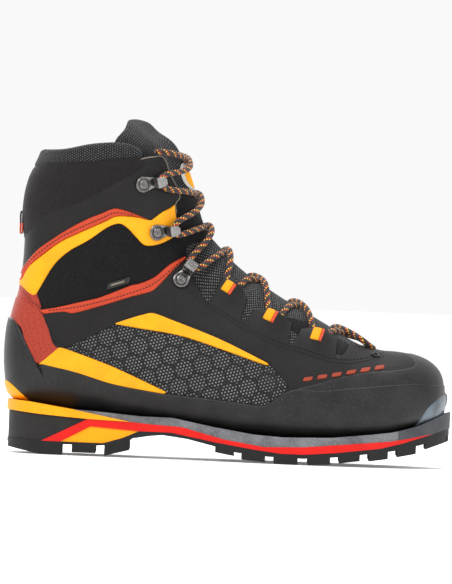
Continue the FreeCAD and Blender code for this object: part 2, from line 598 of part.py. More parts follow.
def webbing():
    """Webbing lace loops on the eyestay tabs, toe eyelets and the heel pull loop."""
    for number, (x, z) in enumerate(LOOP_AT, 1):
        for side, name in SIDES:
            across = (3.4, -2.0)
            up = (1.8, 2.6)
            corners = [
                (x - across[0] - up[0], z - across[1] - up[1]), (x + across[0] - up[0], z + across[1] - up[1]),
                (x + across[0] + up[0], z + across[1] + up[1]), (x - across[0] + up[0], z - across[1] + up[1])]
            keep("lace_loop_%d_%s" % (number, name),
                 layer(PANEL_OUT + 0.05, PATCH_OUT).common(prism(corners)).common(half(side)))
    for side, name in SIDES:
        at, out = skin_frame(98, 75.6, side, PANEL_OUT)
        ring = Part.makeCylinder(3.0, 0.9).cut(Part.makeCylinder(1.5, 2, Vector(0, 0, -0.5)))
        keep("toe_eyelet_" + name, stand(ring, at + out * 0.12, out, Vector(1, 0, 0)))
    outer = loop_slab(4.2, 17.0)
    inner = loop_slab(1.6, 14.4)
    keep("pull_loop", outer.cut(inner))


LOOP_WIDTH = 14.0


def loop_slab(thick, tall):
    """A flat upright slab with rounded top and bottom, standing behind the heel."""
    x, z = LOOP_HINGE[0] + 1.0, LOOP_HINGE[1] + 8.5
    r = thick / 2
    straight = tall / 2 - r
    body = block(x - r, x + r, -LOOP_WIDTH / 2, LOOP_WIDTH / 2, z - straight, z + straight)
    for end in (-1, 1):
        body = body.fuse(Part.makeCylinder(
            r, LOOP_WIDTH, Vector(x, -LOOP_WIDTH / 2, z + end * straight), Vector(0, 1, 0)))
    return body.removeSplitter()


# ---------------------------------------------------------------- lace
# side-view places where the lace turns, from the toe up, and what holds it there
TURNS = [
    ((90, 80.5), None), ((59, 90.5), None), ((27, 101), None), ((0, 119.5), None),
    ((-27.5, 132.5), "ankle_lock"), ((-41.5, 156.2), "hook_low"), ((-50.2, 188.6), "hook_high"),
]
TURN_LIFT = 5.2         # height over the skin of a turn at a webbing loop
HOLD_LIFT = 5.6         # and near enough that at a hook
# side-view heights of the crossings on the ridge, between those turns and above the last
CROSSINGS = [(76, 89), (45, 108), (19, 124), (-5, 143), (-17, 160), (-26, 180), (-38, 203)]
TOE_BAR = (96.5, 79)    # the straight bar between the two lowest turns
TURN_HALF = 4.0         # half the straight stretch of lace held by a hook or loop
TUCK = ((-50, 206.5), (-57, 207.5))


def lace_points():
    """The lace's route, one end to the other."""
    first = strand(1, True)
    second = strand(-1, False)
    u = station_through(*TOE_BAR)
    middle_y = (station(u)[5] + station(u)[6]) / 2
    ends = (first[-1].y - middle_y, second[-1].y - middle_y)
    bar = [on_crest(u, middle_y + end * share, LACE_UNDER) for end, share in
           ((ends[0], 0.6), (ends[0], 0.12), (ends[1], 0.12), (ends[1], 0.6))]
    return first + bar + second[::-1]


def crest_y(x, z, side):
    return on_side(x, z, side, 0.0).y


def strand(side, over):
    """One half of the lace, from its tucked end down to the toe."""
    points = []
    (x1, z1), (x0, z0) = TUCK
    points.append(on_side(x0, z0, side, 1.4))
    points.append(on_side(x1, z1, side, 3.6))
    for i in range(len(TURNS) - 1, -1, -1):
        cross_u = station_through(*CROSSINGS[i])
        turn_at, holder = TURNS[i]
        turn_lift = HOLD_LIFT if holder else TURN_LIFT
        height = LACE_OVER if over else LACE_UNDER
        middle_y = (station(cross_u)[5] + station(cross_u)[6]) / 2
        last_y = points[-1].y
        came_u = station_through(points[-1].x, points[-1].z)
        points.append(on_crest((came_u + cross_u) / 2, middle_y + (last_y - middle_y) * 0.52,
                               (height + 4.4) / 2 + 0.7))
        points.append(on_crest(cross_u, middle_y, height))
        side = -side
        turn_u = station_through(*turn_at)
        y = crest_y(*turn_at, side)
        points.append(on_crest((turn_u + cross_u) / 2, middle_y + (y - middle_y) * 0.52,
                               (height + turn_lift) / 2 + 0.7))
        edge = edge_direction(i)
        if holder:
            foot, across, along, out = HELD[(holder, side)]
            middle = foot + across * (LACE_D / 2 + 0.7) + out * (HOOK_WIRE + LACE_D / 2 + 1.0)
            if along.z < 0:
                along = along * -1
            points.append(middle + along * (TURN_HALF + 0.8))
            points.append(middle - along * (TURN_HALF + 0.8))
        else:
            for way in (1, -1) if i else (1,):
                x = turn_at[0] + way * edge[0] * TURN_HALF
                z = turn_at[1] + way * edge[1] * TURN_HALF
                points.append(on_side(x, z, side, turn_lift))
        over = not over
    return points


def edge_direction(i):
    """The way up along the throat's edge at a turn."""
    a = TURNS[max(0, i - 1)][0]
    b = TURNS[min(len(TURNS) - 1, i + 1)][0]
    length = math.hypot(b[0] - a[0], b[1] - a[1])
    return (b[0] - a[0]) / length, (b[1] - a[1]) / length


def tube(points, diameter):
    """A round cord along straight runs joined by tangent arcs."""
    edges = []
    radii = []
    start = points[0]
    for before, corner, after in zip(points, points[1:], points[2:]):
        back = before - corner
        on = after - corner
        turn = math.pi - back.getAngle(on)
        trim = 0.45 * min(back.Length, on.Length)
        radii.append(trim / math.tan(turn / 2))
        back.normalize()
        on.normalize()
        inner = back + on
        inner.normalize()
        a = corner + back * trim
        b = corner + on * trim
        depth = radii[-1] / math.cos(turn / 2) - radii[-1]
        middle = corner + inner * depth
        edges.append(Part.LineSegment(start, a).toShape())
        edges.append(Part.Arc(a, middle, b).toShape())
        start = b
    edges.append(Part.LineSegment(start, points[-1]).toShape())
    path = Part.Wire(edges)
    circle = Part.Wire([Part.Circle(points[0], points[1] - points[0], diameter / 2).toShape()])
    solid = path.makePipeShell([circle], True, False)
    area = math.pi * diameter**2 / 4
    print("cord %.0f mm, volume/length/section %.4f" % (path.Length, solid.Volume / path.Length / area))
    print("radii", " ".join("%.1f" % r for r in radii))
    return solid


sole()
upper()
hardware()
webbing()
keep("lace", tube(lace_points(), LACE_D))

os.makedirs("parts", exist_ok=True)
for name, shape in NODES.items():
    box = shape.BoundBox
    print("%-24s %9.1f mm3 %2d solids valid %s  x %.0f..%.0f y %.0f..%.0f z %.0f..%.0f" % (
        name, shape.Volume, len(shape.Solids), shape.isValid(),
        box.XMin, box.XMax, box.YMin, box.YMax, box.ZMin, box.ZMax))
    shape.exportStep("parts/" + name + ".step")
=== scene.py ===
import math

import bmesh
import bpy
import numpy as np
from mathutils import Matrix, Vector
from numpy.linalg import norm


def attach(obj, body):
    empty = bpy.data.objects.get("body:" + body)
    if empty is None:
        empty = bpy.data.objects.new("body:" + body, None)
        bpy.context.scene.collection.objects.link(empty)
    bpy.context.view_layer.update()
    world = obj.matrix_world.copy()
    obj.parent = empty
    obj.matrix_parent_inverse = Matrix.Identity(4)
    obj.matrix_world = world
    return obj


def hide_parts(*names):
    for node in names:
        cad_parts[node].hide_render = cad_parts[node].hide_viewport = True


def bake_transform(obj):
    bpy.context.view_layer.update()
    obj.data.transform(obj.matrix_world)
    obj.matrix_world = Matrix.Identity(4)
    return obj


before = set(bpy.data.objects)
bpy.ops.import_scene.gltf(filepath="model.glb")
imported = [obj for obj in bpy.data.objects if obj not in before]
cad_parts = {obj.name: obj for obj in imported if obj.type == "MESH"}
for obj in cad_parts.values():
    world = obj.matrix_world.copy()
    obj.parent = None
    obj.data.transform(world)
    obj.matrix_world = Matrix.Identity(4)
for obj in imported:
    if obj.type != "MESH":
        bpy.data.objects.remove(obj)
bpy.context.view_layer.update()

MM = 0.001      # sizes and places are in millimetres, and turn into metres in mesh_object

# ---- the boot's skin
# Flat sections that are upright over the forefoot, fan round a point in front of the instep
# and lie level across the shaft. Each row: origin x, origin z, angle from straight down, ridge
# radius, floor radius, outer side y, inner side y, height of the widest place, squareness
# below and above. Millimetres and degrees.
STATIONS = np.array([
    (144.6, 178, 0, 126.5, 135.5, 4.0, 14.0, 0.45, 2.0, 2.0),
    (143.6, 178, 0, 118.5, 140.8, -7.0, 23.5, 0.43, 2.2, 2.1),
    (141.2, 178, 0, 112.8, 143.6, -16.0, 31.5, 0.41, 2.5, 2.2),
    (137.5, 178, 0, 108.8, 145.6, -22.8, 36.8, 0.39, 2.7, 2.3),
    (132.0, 178, 0, 105.3, 148.0, -29.5, 41.5, 0.37, 2.9, 2.35),
    (124.0, 178, 0, 102.6, 150.6, -36.5, 45.5, 0.36, 3.1, 2.4),
    (113.0, 178, 0, 101.0, 153.6, -43.0, 49.0, 0.35, 3.3, 2.35),
    (99.0, 178, 0, 99.8, 156.0, -48.5, 51.2, 0.33, 3.4, 2.25),
    (82.0, 178, 0, 93.5, 158.2, -52.0, 51.8, 0.31, 3.5, 2.1),
    (62.0, 178, 0, 82.0, 159.6, -53.5, 50.5, 0.30, 3.5, 2.0),
    (40.0, 178, 0, 70.0, 160.0, -52.5, 47.5, 0.29, 3.5, 1.95),
    (16, 178, 0, 56.0, 158.6, -49.5, 44.5, 0.29, 3.5, 1.95),
    (16, 178, 12, 49.5, 157.5, -46.5, 42.0, 0.31, 3.4, 1.95),
    (16, 178, 25, 45.0, 165.5, -43.5, 40.5, 0.35, 3.3, 1.95),
    (16, 178, 36, 42.8, 182.5, -41.5, 39.5, 0.40, 3.2, 2.0),
    (16, 178, 43, 42.2, 196.8, -40.8, 39.2, 0.44, 3.2, 2.0),
    (16, 178, 47, 42.0, 207.6, -40.4, 39.0, 0.46, 3.1, 2.0),
    (16, 178, 50, 42.0, 213.4, -40.2, 39.0, 0.47, 3.0, 2.0),
    (16, 178, 53.5, 42.0, 207.6, -40.0, 39.0, 0.49, 2.9, 2.0),
    (16, 178, 60, 42.0, 193.0, -40.0, 39.5, 0.50, 2.6, 2.0),
    (16, 178, 68, 41.8, 173.5, -41.0, 40.5, 0.50, 2.5, 2.0),
    (16, 178, 77, 42.0, 163.0, -42.5, 42.0, 0.50, 2.4, 2.0),
    (16, 178, 90, 44.0, 158.0, -44.5, 44.5, 0.50, 2.3, 2.0),
    (16, 190, 90, 48.0, 155.5, -46.5, 46.5, 0.50, 2.3, 2.0),
    (16, 202, 90, 53.0, 150.5, -48.0, 48.0, 0.50, 2.3, 2.0),
    (16, 213, 90, 59.5, 147.0, -48.5, 48.5, 0.50, 2.3, 2.0),
    (16, 223, 90, 72.0, 146.5, -48.0, 48.0, 0.50, 2.3, 2.0),
    (16, 234, 90, 87.0, 147.0, -46.0, 46.0, 0.50, 2.3, 2.0)])
LAST = len(STATIONS) - 1


def hermite(b, c, p, q, t):
    """The place at t on the way from b to c, leaving along p and arriving along q."""
    return b + p * t + (3 * (c - b) - 2 * p - q) * t * t + (2 * (b - c) + p + q) * t**3


def lengths(path):
    """How far along a path each of its points is."""
    return np.concatenate([[0], np.cumsum(norm(np.diff(path, axis=0), axis=1))])


def station(u):
    """The section at station number u."""
    i = min(int(u), LAST - 1)
    t = u - i
    a, b, c, d = (STATIONS[min(max(i + k, 0), LAST)] for k in (-1, 0, 1, 2))
    return hermite(b, c, (c - a) / 2, (d - b) / 2, t)


def ring(section, count):
    """Evenly spaced points round a section: floor, outer side, ridge, inner side, floor."""
    ox, oz, angle, ridge, floor, outer, inner, belly, low, high = section
    widest = floor - belly * (floor - ridge)
    a = np.linspace(0, math.pi, 500)
    up = -np.cos(a)
    reach = np.where(up > 0, widest - ridge, floor - widest)
    power = np.where(up > 0, high, low)
    r = widest - np.sign(up) * np.abs(up) ** (2 / power) * reach
    w = np.abs(np.sin(a)) ** (2 / power) * (inner - outer) / 2
    along = np.concatenate([[0], np.cumsum(np.hypot(np.diff(r), np.diff(w)))])
    even = np.linspace(0, along[-1], count + 1)
    r, w = np.interp(even, along, r), np.interp(even, along, w)
    r = np.concatenate([r, r[-2::-1]])
    y = np.concatenate([-w, w[-2::-1]]) + (outer + inner) / 2
    s = math.radians(angle)
    return np.stack([ox - math.sin(s) * r, y, oz - math.cos(s) * r], 1)


def even_stations(step):
    """Station numbers whose sections stand about one step apart where they are widest apart."""
    us = np.linspace(0, LAST, 1200)
    rings = np.array([ring(station(u), 8) for u in us])
    gaps = norm(np.diff(rings, axis=0), axis=2).max(1)
    along = np.concatenate([[0], np.cumsum(gaps)])
    return np.interp(np.linspace(0, along[-1], int(along[-1] / step)), along, us)


SIDE = 150       # points up each side of a section
US = even_stations(1.15)
P = np.array([ring(station(u), SIDE) for u in US])
# rings that close the blunt tip of the toe
tip = P[0].mean(0)
P = np.concatenate([[tip + (P[0] - tip) * k + np.array([dx, 0, 0]) for k, dx in ((0.0, 1.1), (0.35, 1.0),
    (0.65, 0.75), (0.88, 0.35))], P])
DU = np.gradient(P, axis=0)
DV = np.gradient(P, axis=1)
DV[:, 0] = DV[:, -1] = P[:, 1] - P[:, -2]
N = np.cross(DV, DU)
N /= norm(N, axis=2, keepdims=True) + 1e-9
if (N[len(US) // 2, SIDE // 2, 1]) > 0:
    N = -N
N[0] = (1, 0, 0)
ROWS, COLS = P.shape[:2]
# texture places, in millimetres: along the boot, and round it from the ridge
ALONG = np.concatenate([np.zeros((1, COLS)), np.cumsum(norm(np.diff(P, axis=0), axis=2), 0)])
ROUND = np.concatenate([np.zeros((ROWS, 1)), np.cumsum(norm(np.diff(P, axis=1), axis=2), 1)], 1)
ROUND -= ROUND[:, SIDE:SIDE + 1]


def curve(points, step=1.2):
    """A smooth closed line through (x, z) points. A third number marks a sharp corner."""
    n = len(points)
    out = []
    for i in range(n):
        b, c = points[i], points[(i + 1) % n]
        a = b if len(b) > 2 else points[i - 1]
        d = c if len(c) > 2 else points[(i + 2) % n]
        a, b, c, d = (np.array(p[:2], float) for p in (a, b, c, d))
        count = max(1, int(norm(c - b) / step))
        p, q = (c - a) / 2, (d - b) / 2
        size = norm(c - b) + 1e-9
        p *= min(1, size / (norm(p) + 1e-9))
        q *= min(1, size / (norm(q) + 1e-9))
        out += [hermite(b, c, p, q, k / count) for k in range(count)]
    return np.array(out)


def inside(line, xz):
    """Signed distance from places to a closed line, positive inside."""
    a, b = line, np.roll(line, -1, 0)
    best = np.full(len(xz), 1e9)
    odd = np.zeros(len(xz), bool)
    for (ax, az), (bx, bz) in zip(a, b):
        dx, dz = bx - ax, bz - az
        t = ((xz[:, 0] - ax) * dx + (xz[:, 1] - az) * dz) / (dx * dx + dz * dz + 1e-12)
        t = np.clip(t, 0, 1)
        best = np.minimum(best, (xz[:, 0] - ax - t * dx) ** 2 + (xz[:, 1] - az - t * dz) ** 2)
        crosses = (az > xz[:, 1]) != (bz > xz[:, 1])
        odd ^= crosses & (xz[:, 0] < ax + (xz[:, 1] - az) * dx / (dz if abs(dz) > 1e-12 else 1e-12))
    return np.where(odd, 1, -1) * np.sqrt(best)


def cut_panel(line, side, cuts):
    """The part of the skin inside a side-view line, with extra rings of points at the cuts.

    Returns points, normals, texture places and distances from the edge, and the faces."""
    xz = P[:, :, [0, 2]].reshape(-1, 2)
    low, high = line.min(0) - 4, line.max(0) + 4
    near = np.all((xz > low) & (xz < high), axis=1)
    d = np.full(len(xz), -50.0)
    d[near] = inside(line, xz[near])
    d[np.abs(d) < 1e-6] = 1e-6
    index = np.arange(ROWS * COLS).reshape(ROWS, COLS)
    quads = np.stack([index[:-1, :-1], index[:-1, 1:], index[1:, 1:], index[1:, :-1]], -1)
    if side == -1:
        quads = quads[:, :SIDE]
    elif side == 1:
        quads = quads[:, SIDE:]
    quads = quads.reshape(-1, 4)
    quads = quads[(d[quads] > 0).any(1)]
    data = [np.concatenate([P.reshape(-1, 3), N.reshape(-1, 3), ALONG.reshape(-1, 1), ROUND.reshape(-1, 1)],
        1)]
    extra = []
    dist = d.tolist()
    base = data[0]
    faces = [tuple(q) for q in quads.tolist()]
    total = len(base)

    def row(i):
        return base[i] if i < total else extra[i - total]

    for cut in cuts:
        seen = {}
        out = []
        for face in faces:
            values = [dist[i] - cut for i in face]
            if min(values) >= 0:
                out.append(face)
                continue
            if max(values) <= 0:
                if cut > 0:
                    out.append(face)
                continue
            above, below = [], []
            for k, i in enumerate(face):
                j = face[(k + 1) % len(face)]
                v, w = values[k], values[(k + 1) % len(face)]
                if v >= 0:
                    above.append(i)
                if v <= 0:
                    below.append(i)
                if v * w < 0:
                    key = (min(i, j), max(i, j))
                    if key not in seen:
                        t = v / (v - w)
                        extra.append(row(i) * (1 - t) + row(j) * t)
                        dist.append(cut)
                        seen[key] = total + len(extra) - 1
                    above.append(seen[key])
                    below.append(seen[key])
            if len(above) > 2:
                out.append(tuple(above))
            if cut > 0 and len(below) > 2:
                out.append(tuple(below))
        faces = out
    used = sorted({i for f in faces for i in f})
    renumber = {i: k for k, i in enumerate(used)}
    rows = np.array([row(i) for i in used])
    normal = rows[:, 3:6] / (norm(rows[:, 3:6], axis=1, keepdims=True) + 1e-9)
    edge = np.array([dist[i] for i in used])
    return rows[:, :3], normal, rows[:, 6:8], edge, [[renumber[i] for i in f] for f in faces]


def ring_faces(rows, around, caps=True):
    """Quads between rings of points that follow each other, and a face over each end."""
    faces = []
    for i in range(rows - 1):
        for k in range(around):
            a, b = i * around + k, i * around + (k + 1) % around
            faces.append((a, b, b + around, a + around))
    if caps:
        faces.append(tuple(range(around))[::-1])
        faces.append(tuple((rows - 1) * around + k for k in range(around)))
    return faces


def mesh_object(name, points, faces, uv=None, material=None, weld=False):
    """A smooth mesh from points in millimetres, with one texture place a point."""
    mesh = bpy.data.meshes.new(name)
    mesh.from_pydata((np.asarray(points) * MM).tolist(), [], [list(f) for f in faces])
    if uv is not None:
        layer = mesh.uv_layers.new(name="UVMap")
        loops = np.zeros(len(mesh.loops), np.int32)
        mesh.loops.foreach_get("vertex_index", loops)
        layer.data.foreach_set("uv", (np.asarray(uv)[loops] * MM).astype(np.float32).ravel())
    if weld:
        bm = bmesh.new()
        bm.from_mesh(mesh)
        bmesh.ops.remove_doubles(bm, verts=bm.verts, dist=2e-6)
        bm.to_mesh(mesh)
        bm.free()
    mesh.polygons.foreach_set("use_smooth", np.ones(len(mesh.polygons), bool))
    mesh.update()
    obj = bpy.data.objects.new(name, mesh)
    bpy.context.scene.collection.objects.link(obj)
    if material:
        mesh.materials.append(material)
    return obj


def waves(points, size, seed):
    """A gentle unevenness from -1 to 1, the same every time."""
    value = np.zeros(len(points))
    state = np.random.RandomState(seed)
    for _ in range(7):
        direction = state.normal(size=3)
        direction /= norm(direction)
        value += np.sin(points @ direction * (2 * math.pi / size) * state.uniform(0.6, 1.7)
            + state.uniform(0, 6))
    return value / 7


def settle(obj, body, nodes=()):
    """Fasten a piece to its body, and hide the CAD nodes that it stands for."""
    if body == "flex":
        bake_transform(obj)
    elif body:
        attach(obj, body)
    if nodes:
        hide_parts(*nodes)
    return obj


def shell(name, outer, inner, faces, uv, material):
    """A closed piece from an outer and an inner face that meet at their edge."""
    both = list(faces) + [[i + len(outer) for i in reversed(f)] for f in faces]
    return mesh_object(name, np.concatenate([outer, inner]), both, np.concatenate([uv, uv]), material,
        weld=True)


EDGE_CUTS = (0, 0.04, 0.15, 0.35, 0.65, 1.0)    # rings of points over a rounded edge


def panel(name, outline, finish, out, under=-0.4, edge=0.8, inner=None, side=None, shape=None, body="foot",
        nodes=None, lift=None):
    """A layer of the upper. out is its face and under the level its edge sinks to; with inner
    it is a closed piece with a rounded edge, whose inner face is at that offset. It stands for
    the CAD node of its own name, unless nodes says otherwise."""
    points, normal, uv, d, faces = cut_panel(curve(outline), side, [edge * k for k in EDGE_CUTS])
    k = np.clip(d / edge, 0, 1)
    rise = np.sqrt(np.clip(1 - (1 - k) ** 2, 0, 1))
    level = (out + inner) / 2 if inner is not None else under
    height = level + (out - level) * rise
    if shape is not None:
        height = height + shape(points, d) * rise
    if lift is not None:
        raised = lift(points)
        height = height + raised
    outer = points + normal * height[:, None]
    if inner is None:
        obj = mesh_object(name, outer, faces, uv, MAT[finish], weld=True)
    else:
        depth = level + (inner - level) * rise
        if lift is not None:
            depth = depth + raised
        obj = shell(name, outer, points + normal * depth[:, None], faces, uv, MAT[finish])
    return settle(obj, body, [name] if nodes is None else nodes)


# ---- materials
class Graph:
    """Short names for the shader nodes that the finishes use."""

    def __init__(self, name):
        self.material = bpy.data.materials.new(name)
        self.material.use_nodes = True
        self.nodes = self.material.node_tree.nodes
        self.links = self.material.node_tree.links
        self.shader = self.nodes["Principled BSDF"]
        self.uv, self.place = self.millimetres("UV"), self.millimetres("Object")

    def millimetres(self, kind):
        """A texture coordinate in millimetres."""
        coordinates = self.nodes.new("ShaderNodeTexCoord")
        scale = self.nodes.new("ShaderNodeVectorMath")
        scale.operation = "SCALE"
        scale.inputs["Scale"].default_value = 1 / MM
        self.links.new(coordinates.outputs[kind], scale.inputs[0])
        return scale.outputs[0]

    def plug(self, socket, value):
        if isinstance(value, bpy.types.NodeSocket):
            self.links.new(value, socket)
        elif isinstance(value, (tuple, list)) and len(value) == 3 and len(socket.default_value) == 4:
            socket.default_value = (*value, 1)
        else:
            socket.default_value = value

    def math(self, op, a, b=0.0, c=0.0, clamp=False):
        node = self.nodes.new("ShaderNodeMath")
        node.operation = op
        node.use_clamp = clamp
        for socket, value in zip(node.inputs, (a, b, c)):
            self.plug(socket, value)
        return node.outputs[0]

    def times(self, a, b):
        return self.math("MULTIPLY", a, b)

    def plus(self, a, b, clamp=False):
        return self.math("ADD", a, b, clamp=clamp)

    def ripple(self, place, pitch):
        """A sine wave with the given pitch."""
        return self.math("SINE", self.times(place, 2 * math.pi / pitch))

    def split(self, vector):
        node = self.nodes.new("ShaderNodeSeparateXYZ")
        self.links.new(vector, node.inputs[0])
        return node.outputs

    def noise(self, vector, size, detail=2.0, rough=0.5):
        node = self.nodes.new("ShaderNodeTexNoise")
        self.links.new(vector, node.inputs["Vector"])
        node.inputs["Scale"].default_value = 1 / size
        node.inputs["Detail"].default_value = detail
        node.inputs["Roughness"].default_value = rough
        return node.outputs[0]

    def step(self, value, low, high, a=0.0, b=1.0):
        node = self.nodes.new("ShaderNodeMapRange")
        node.interpolation_type = "SMOOTHSTEP"
        for socket, number in zip(node.inputs, (value, low, high, a, b)):
            self.plug(socket, number)
        return node.outputs[0]

    def mix(self, factor, a, b):
        node = self.nodes.new("ShaderNodeMix")
        node.data_type = "RGBA"
        self.plug(node.inputs[0], factor)
        self.plug(node.inputs[6], a)
        self.plug(node.inputs[7], b)
        return node.outputs[2]

    def bump(self, height, depth):
        """Relief: height from 0 to 1 stands depth millimetres tall."""
        node = self.nodes.new("ShaderNodeBump")
        node.inputs["Strength"].default_value = 1.0
        node.inputs["Distance"].default_value = depth * MM
        self.plug(node.inputs["Height"], height)
        return node.outputs[0]

    def hexes(self, x, y, pitch):
        """Hexagonal cells: distance to the cell's edge and to its middle, in pitches."""
        x, y = self.math("DIVIDE", x, pitch), self.math("DIVIDE", y, pitch)
        found = []
        for shift in (0.0, 0.5):
            px = self.math("SUBTRACT", self.math("FLOORED_MODULO", self.plus(x, shift), 1.0), 0.5)
            tall = math.sqrt(3)
            py = self.math("SUBTRACT", self.math("FLOORED_MODULO", self.plus(y, shift * tall), tall), tall
                / 2)
            far = self.math("SQRT", self.plus(self.times(px, px), self.times(py, py)))
            ax, ay = self.math("ABSOLUTE", px), self.math("ABSOLUTE", py)
            slant = self.plus(self.times(ax, 0.5), self.times(ay, tall / 2))
            found.append((far, self.math("SUBTRACT", 0.5, self.math("MAXIMUM", ax, slant))))
        middle = self.math("MINIMUM", found[0][0], found[1][0])
        edge = self.math("MAXIMUM", found[0][1], found[1][1])
        return edge, middle

    def done(self, colour, rough, normal=None, metallic=0.0, sheen=0.0, specular=0.5):
        self.plug(self.shader.inputs["Base Color"], colour)
        self.plug(self.shader.inputs["Roughness"], rough)
        self.shader.inputs["Metallic"].default_value = metallic
        self.shader.inputs["Sheen Weight"].default_value = sheen
        self.shader.inputs["Sheen Roughness"].default_value = 0.4
        self.shader.inputs["Specular IOR Level"].default_value = specular
        if normal is not None:
            self.links.new(normal, self.shader.inputs["Normal"])
        return self.material


def ribbed_leather(name, dark, light, rough, angle=0.62, pitch=1.15, depth=0.10):
    """Synthetic leather pressed with fine slanted ribs."""
    g = Graph(name)
    x, _, z = g.split(g.place)
    line = g.plus(g.times(x, math.sin(angle)), g.times(z, -math.cos(angle)))
    across = g.plus(g.times(x, math.cos(angle)), g.times(z, math.sin(angle)))
    wobble = g.times(g.noise(g.place, 3.0), 0.35)
    wave = g.ripple(g.plus(line, wobble), pitch)
    cross = g.ripple(across, pitch * 0.8)
    ribs = g.plus(g.times(wave, 0.5), g.times(cross, 0.22))
    broad = g.noise(g.place, 22.0, 3.0)
    fine = g.noise(g.place, 0.45, 2.0)
    tone = g.plus(g.times(g.step(ribs, -0.6, 0.7), 0.62), g.times(broad, 0.55), clamp=True)
    colour = g.mix(tone, dark, light)
    normal = g.bump(g.plus(ribs, g.times(fine, 0.5)), depth)
    return g.done(colour, g.step(tone, 0, 1, rough + 0.1, rough - 0.06), normal, specular=0.12)


def smooth_leather(name, colour, rough=0.5, grain=0.35, fade=0.85):
    """Thin coated microfibre, almost flat."""
    g = Graph(name)
    broad = g.noise(g.place, 14.0, 3.0)
    fine = g.noise(g.place, grain, 2.0)
    pale = tuple(c * fade for c in colour)
    normal = g.bump(g.plus(fine, g.times(g.noise(g.place, 2.6), 0.6)), 0.05)
    return g.done(g.mix(g.step(broad, 0.3, 0.7), pale, colour), rough, normal, specular=0.25)


def honeycomb(name):
    """Black mesh printed with pale dots that leave a pattern of hexagons."""
    g = Graph(name)
    x, _, z = g.split(g.place)
    angle = math.radians(-16)
    a = g.plus(g.times(x, math.cos(angle)), g.times(z, -math.sin(angle)))
    b = g.plus(g.times(x, math.sin(angle)), g.times(z, math.cos(angle)))
    edge, _ = g.hexes(a, b, 13.0)
    _, dot = g.hexes(a, b, 2.3)
    shown = g.times(g.step(edge, 0.045, 0.075, 0.10, 1.0), g.step(dot, 0.32, 0.20))
    uneven = g.step(g.noise(g.place, 30.0, 2.0), 0.3, 0.65, 0.75, 1.0)
    colour = g.mix(g.times(shown, uneven), (0.005, 0.005, 0.0055), (0.15, 0.152, 0.155))
    normal = g.bump(g.plus(shown, g.times(g.noise(g.place, 0.5), 0.5)), 0.12)
    return g.done(colour, 0.62, normal, sheen=0.05, specular=0.2)


SHAFT_AXIS, SHAFT_RADIUS = 95.0, 46.0   # the knit's rows run round an upright axis this far behind


def dotted(name, ground, dot_colour, pitch, size, depth=0.2, flat=False, rough=0.75, turning=False):
    """Knit or mesh with small pale dots in rows. The rows of a turning knit run round the shaft."""
    g = Graph(name)
    if turning:
        ahead, aside, y = g.split(g.place)
        x = g.times(g.math("ARCTAN2", aside, g.plus(ahead, SHAFT_AXIS)), SHAFT_RADIUS)
    elif flat:
        x, _, y = g.split(g.place)
    else:
        x, y, _ = g.split(g.uv)
    _, dot = g.hexes(y, x, pitch)
    _, weave = g.hexes(x, y, pitch / 3)
    shown = g.step(dot, size, size * 0.6)
    uneven = g.step(g.noise(g.uv, pitch * 1.3, 2.0), 0.25, 0.65, 0.25, 1.0)
    colour = g.mix(g.times(shown, uneven), ground, dot_colour)
    height = g.plus(g.times(weave, -0.8), g.times(shown, 0.6))
    normal = g.bump(g.plus(height, g.times(g.noise(g.uv, 0.5), 0.5)), depth)
    return g.done(colour, rough, normal, sheen=0.06, specular=0.15)


def herringbone(name, dark, light, column=3.4, pitch=1.25):
    """Twill that turns back on itself in narrow columns."""
    g = Graph(name)
    x, _, z = g.split(g.place)
    turn = g.math("PINGPONG", x, column)
    wave = g.ripple(g.plus(z, turn), pitch)
    tone = g.times(g.step(wave, -0.1, 0.8), g.step(g.noise(g.place, 1.2, 2.0), 0.25, 0.6, 0.4, 1.0))
    normal = g.bump(g.plus(g.step(wave, -0.7, 0.7), g.times(g.noise(g.place, 0.4), 0.5)), 0.22)
    return g.done(g.mix(tone, dark, light), 0.8, normal, sheen=0.06, specular=0.15)


def brushed(name, dark, light, size=0.7):
    """Short-napped softshell or felt."""
    g = Graph(name)
    tone = g.step(g.noise(g.place, size, 3.0, 0.6), 0.35, 0.7)
    speck = g.step(g.noise(g.place, size * 0.45, 1.0), 0.66, 0.74)
    colour = g.mix(g.times(speck, 0.5), g.mix(tone, dark, light), tuple(c * 2.2 for c in light))
    normal = g.bump(g.noise(g.place, size, 4.0, 0.65), 0.35)
    return g.done(colour, 0.88, normal, sheen=0.08, specular=0.1)


def rubber(name, colour, rough=0.6, grain=0.5, depth=0.10, sparkle=0.0, mottle=0.15):
    g = Graph(name)
    fine = g.noise(g.place, grain, 3.0, 0.6)
    broad = g.noise(g.place, 12.0, 3.0)
    low = tuple(c * (1 - mottle) for c in colour)
    high = tuple(c * (1 + mottle) for c in colour)
    tint = g.mix(g.step(broad, 0.3, 0.7), low, high)
    if sparkle:
        speck = g.step(g.noise(g.place, 0.42, 1.0), 0.64, 0.72)
        tint = g.mix(g.times(speck, sparkle), tint, tuple(min(1, c * 4 + 0.05) for c in colour))
    return g.done(tint, rough, g.bump(fine, depth), specular=0.22)


def dusted_rubber(name):
    """The rand's black rubber, grainy and dusted with grey specks."""
    g = Graph(name)
    speck = g.step(g.noise(g.place, 0.42, 1.0), 0.62, 0.72)
    broad = g.noise(g.place, 16.0, 3.0)
    tint = g.mix(g.step(broad, 0.3, 0.7), (0.0045, 0.0044, 0.0045), (0.0100, 0.0096, 0.0096))
    tint = g.mix(g.times(speck, 0.45), tint, (0.11, 0.108, 0.106))
    return g.done(tint, 0.42, g.bump(g.noise(g.place, 0.5, 3.0, 0.6), 0.16), specular=0.28)


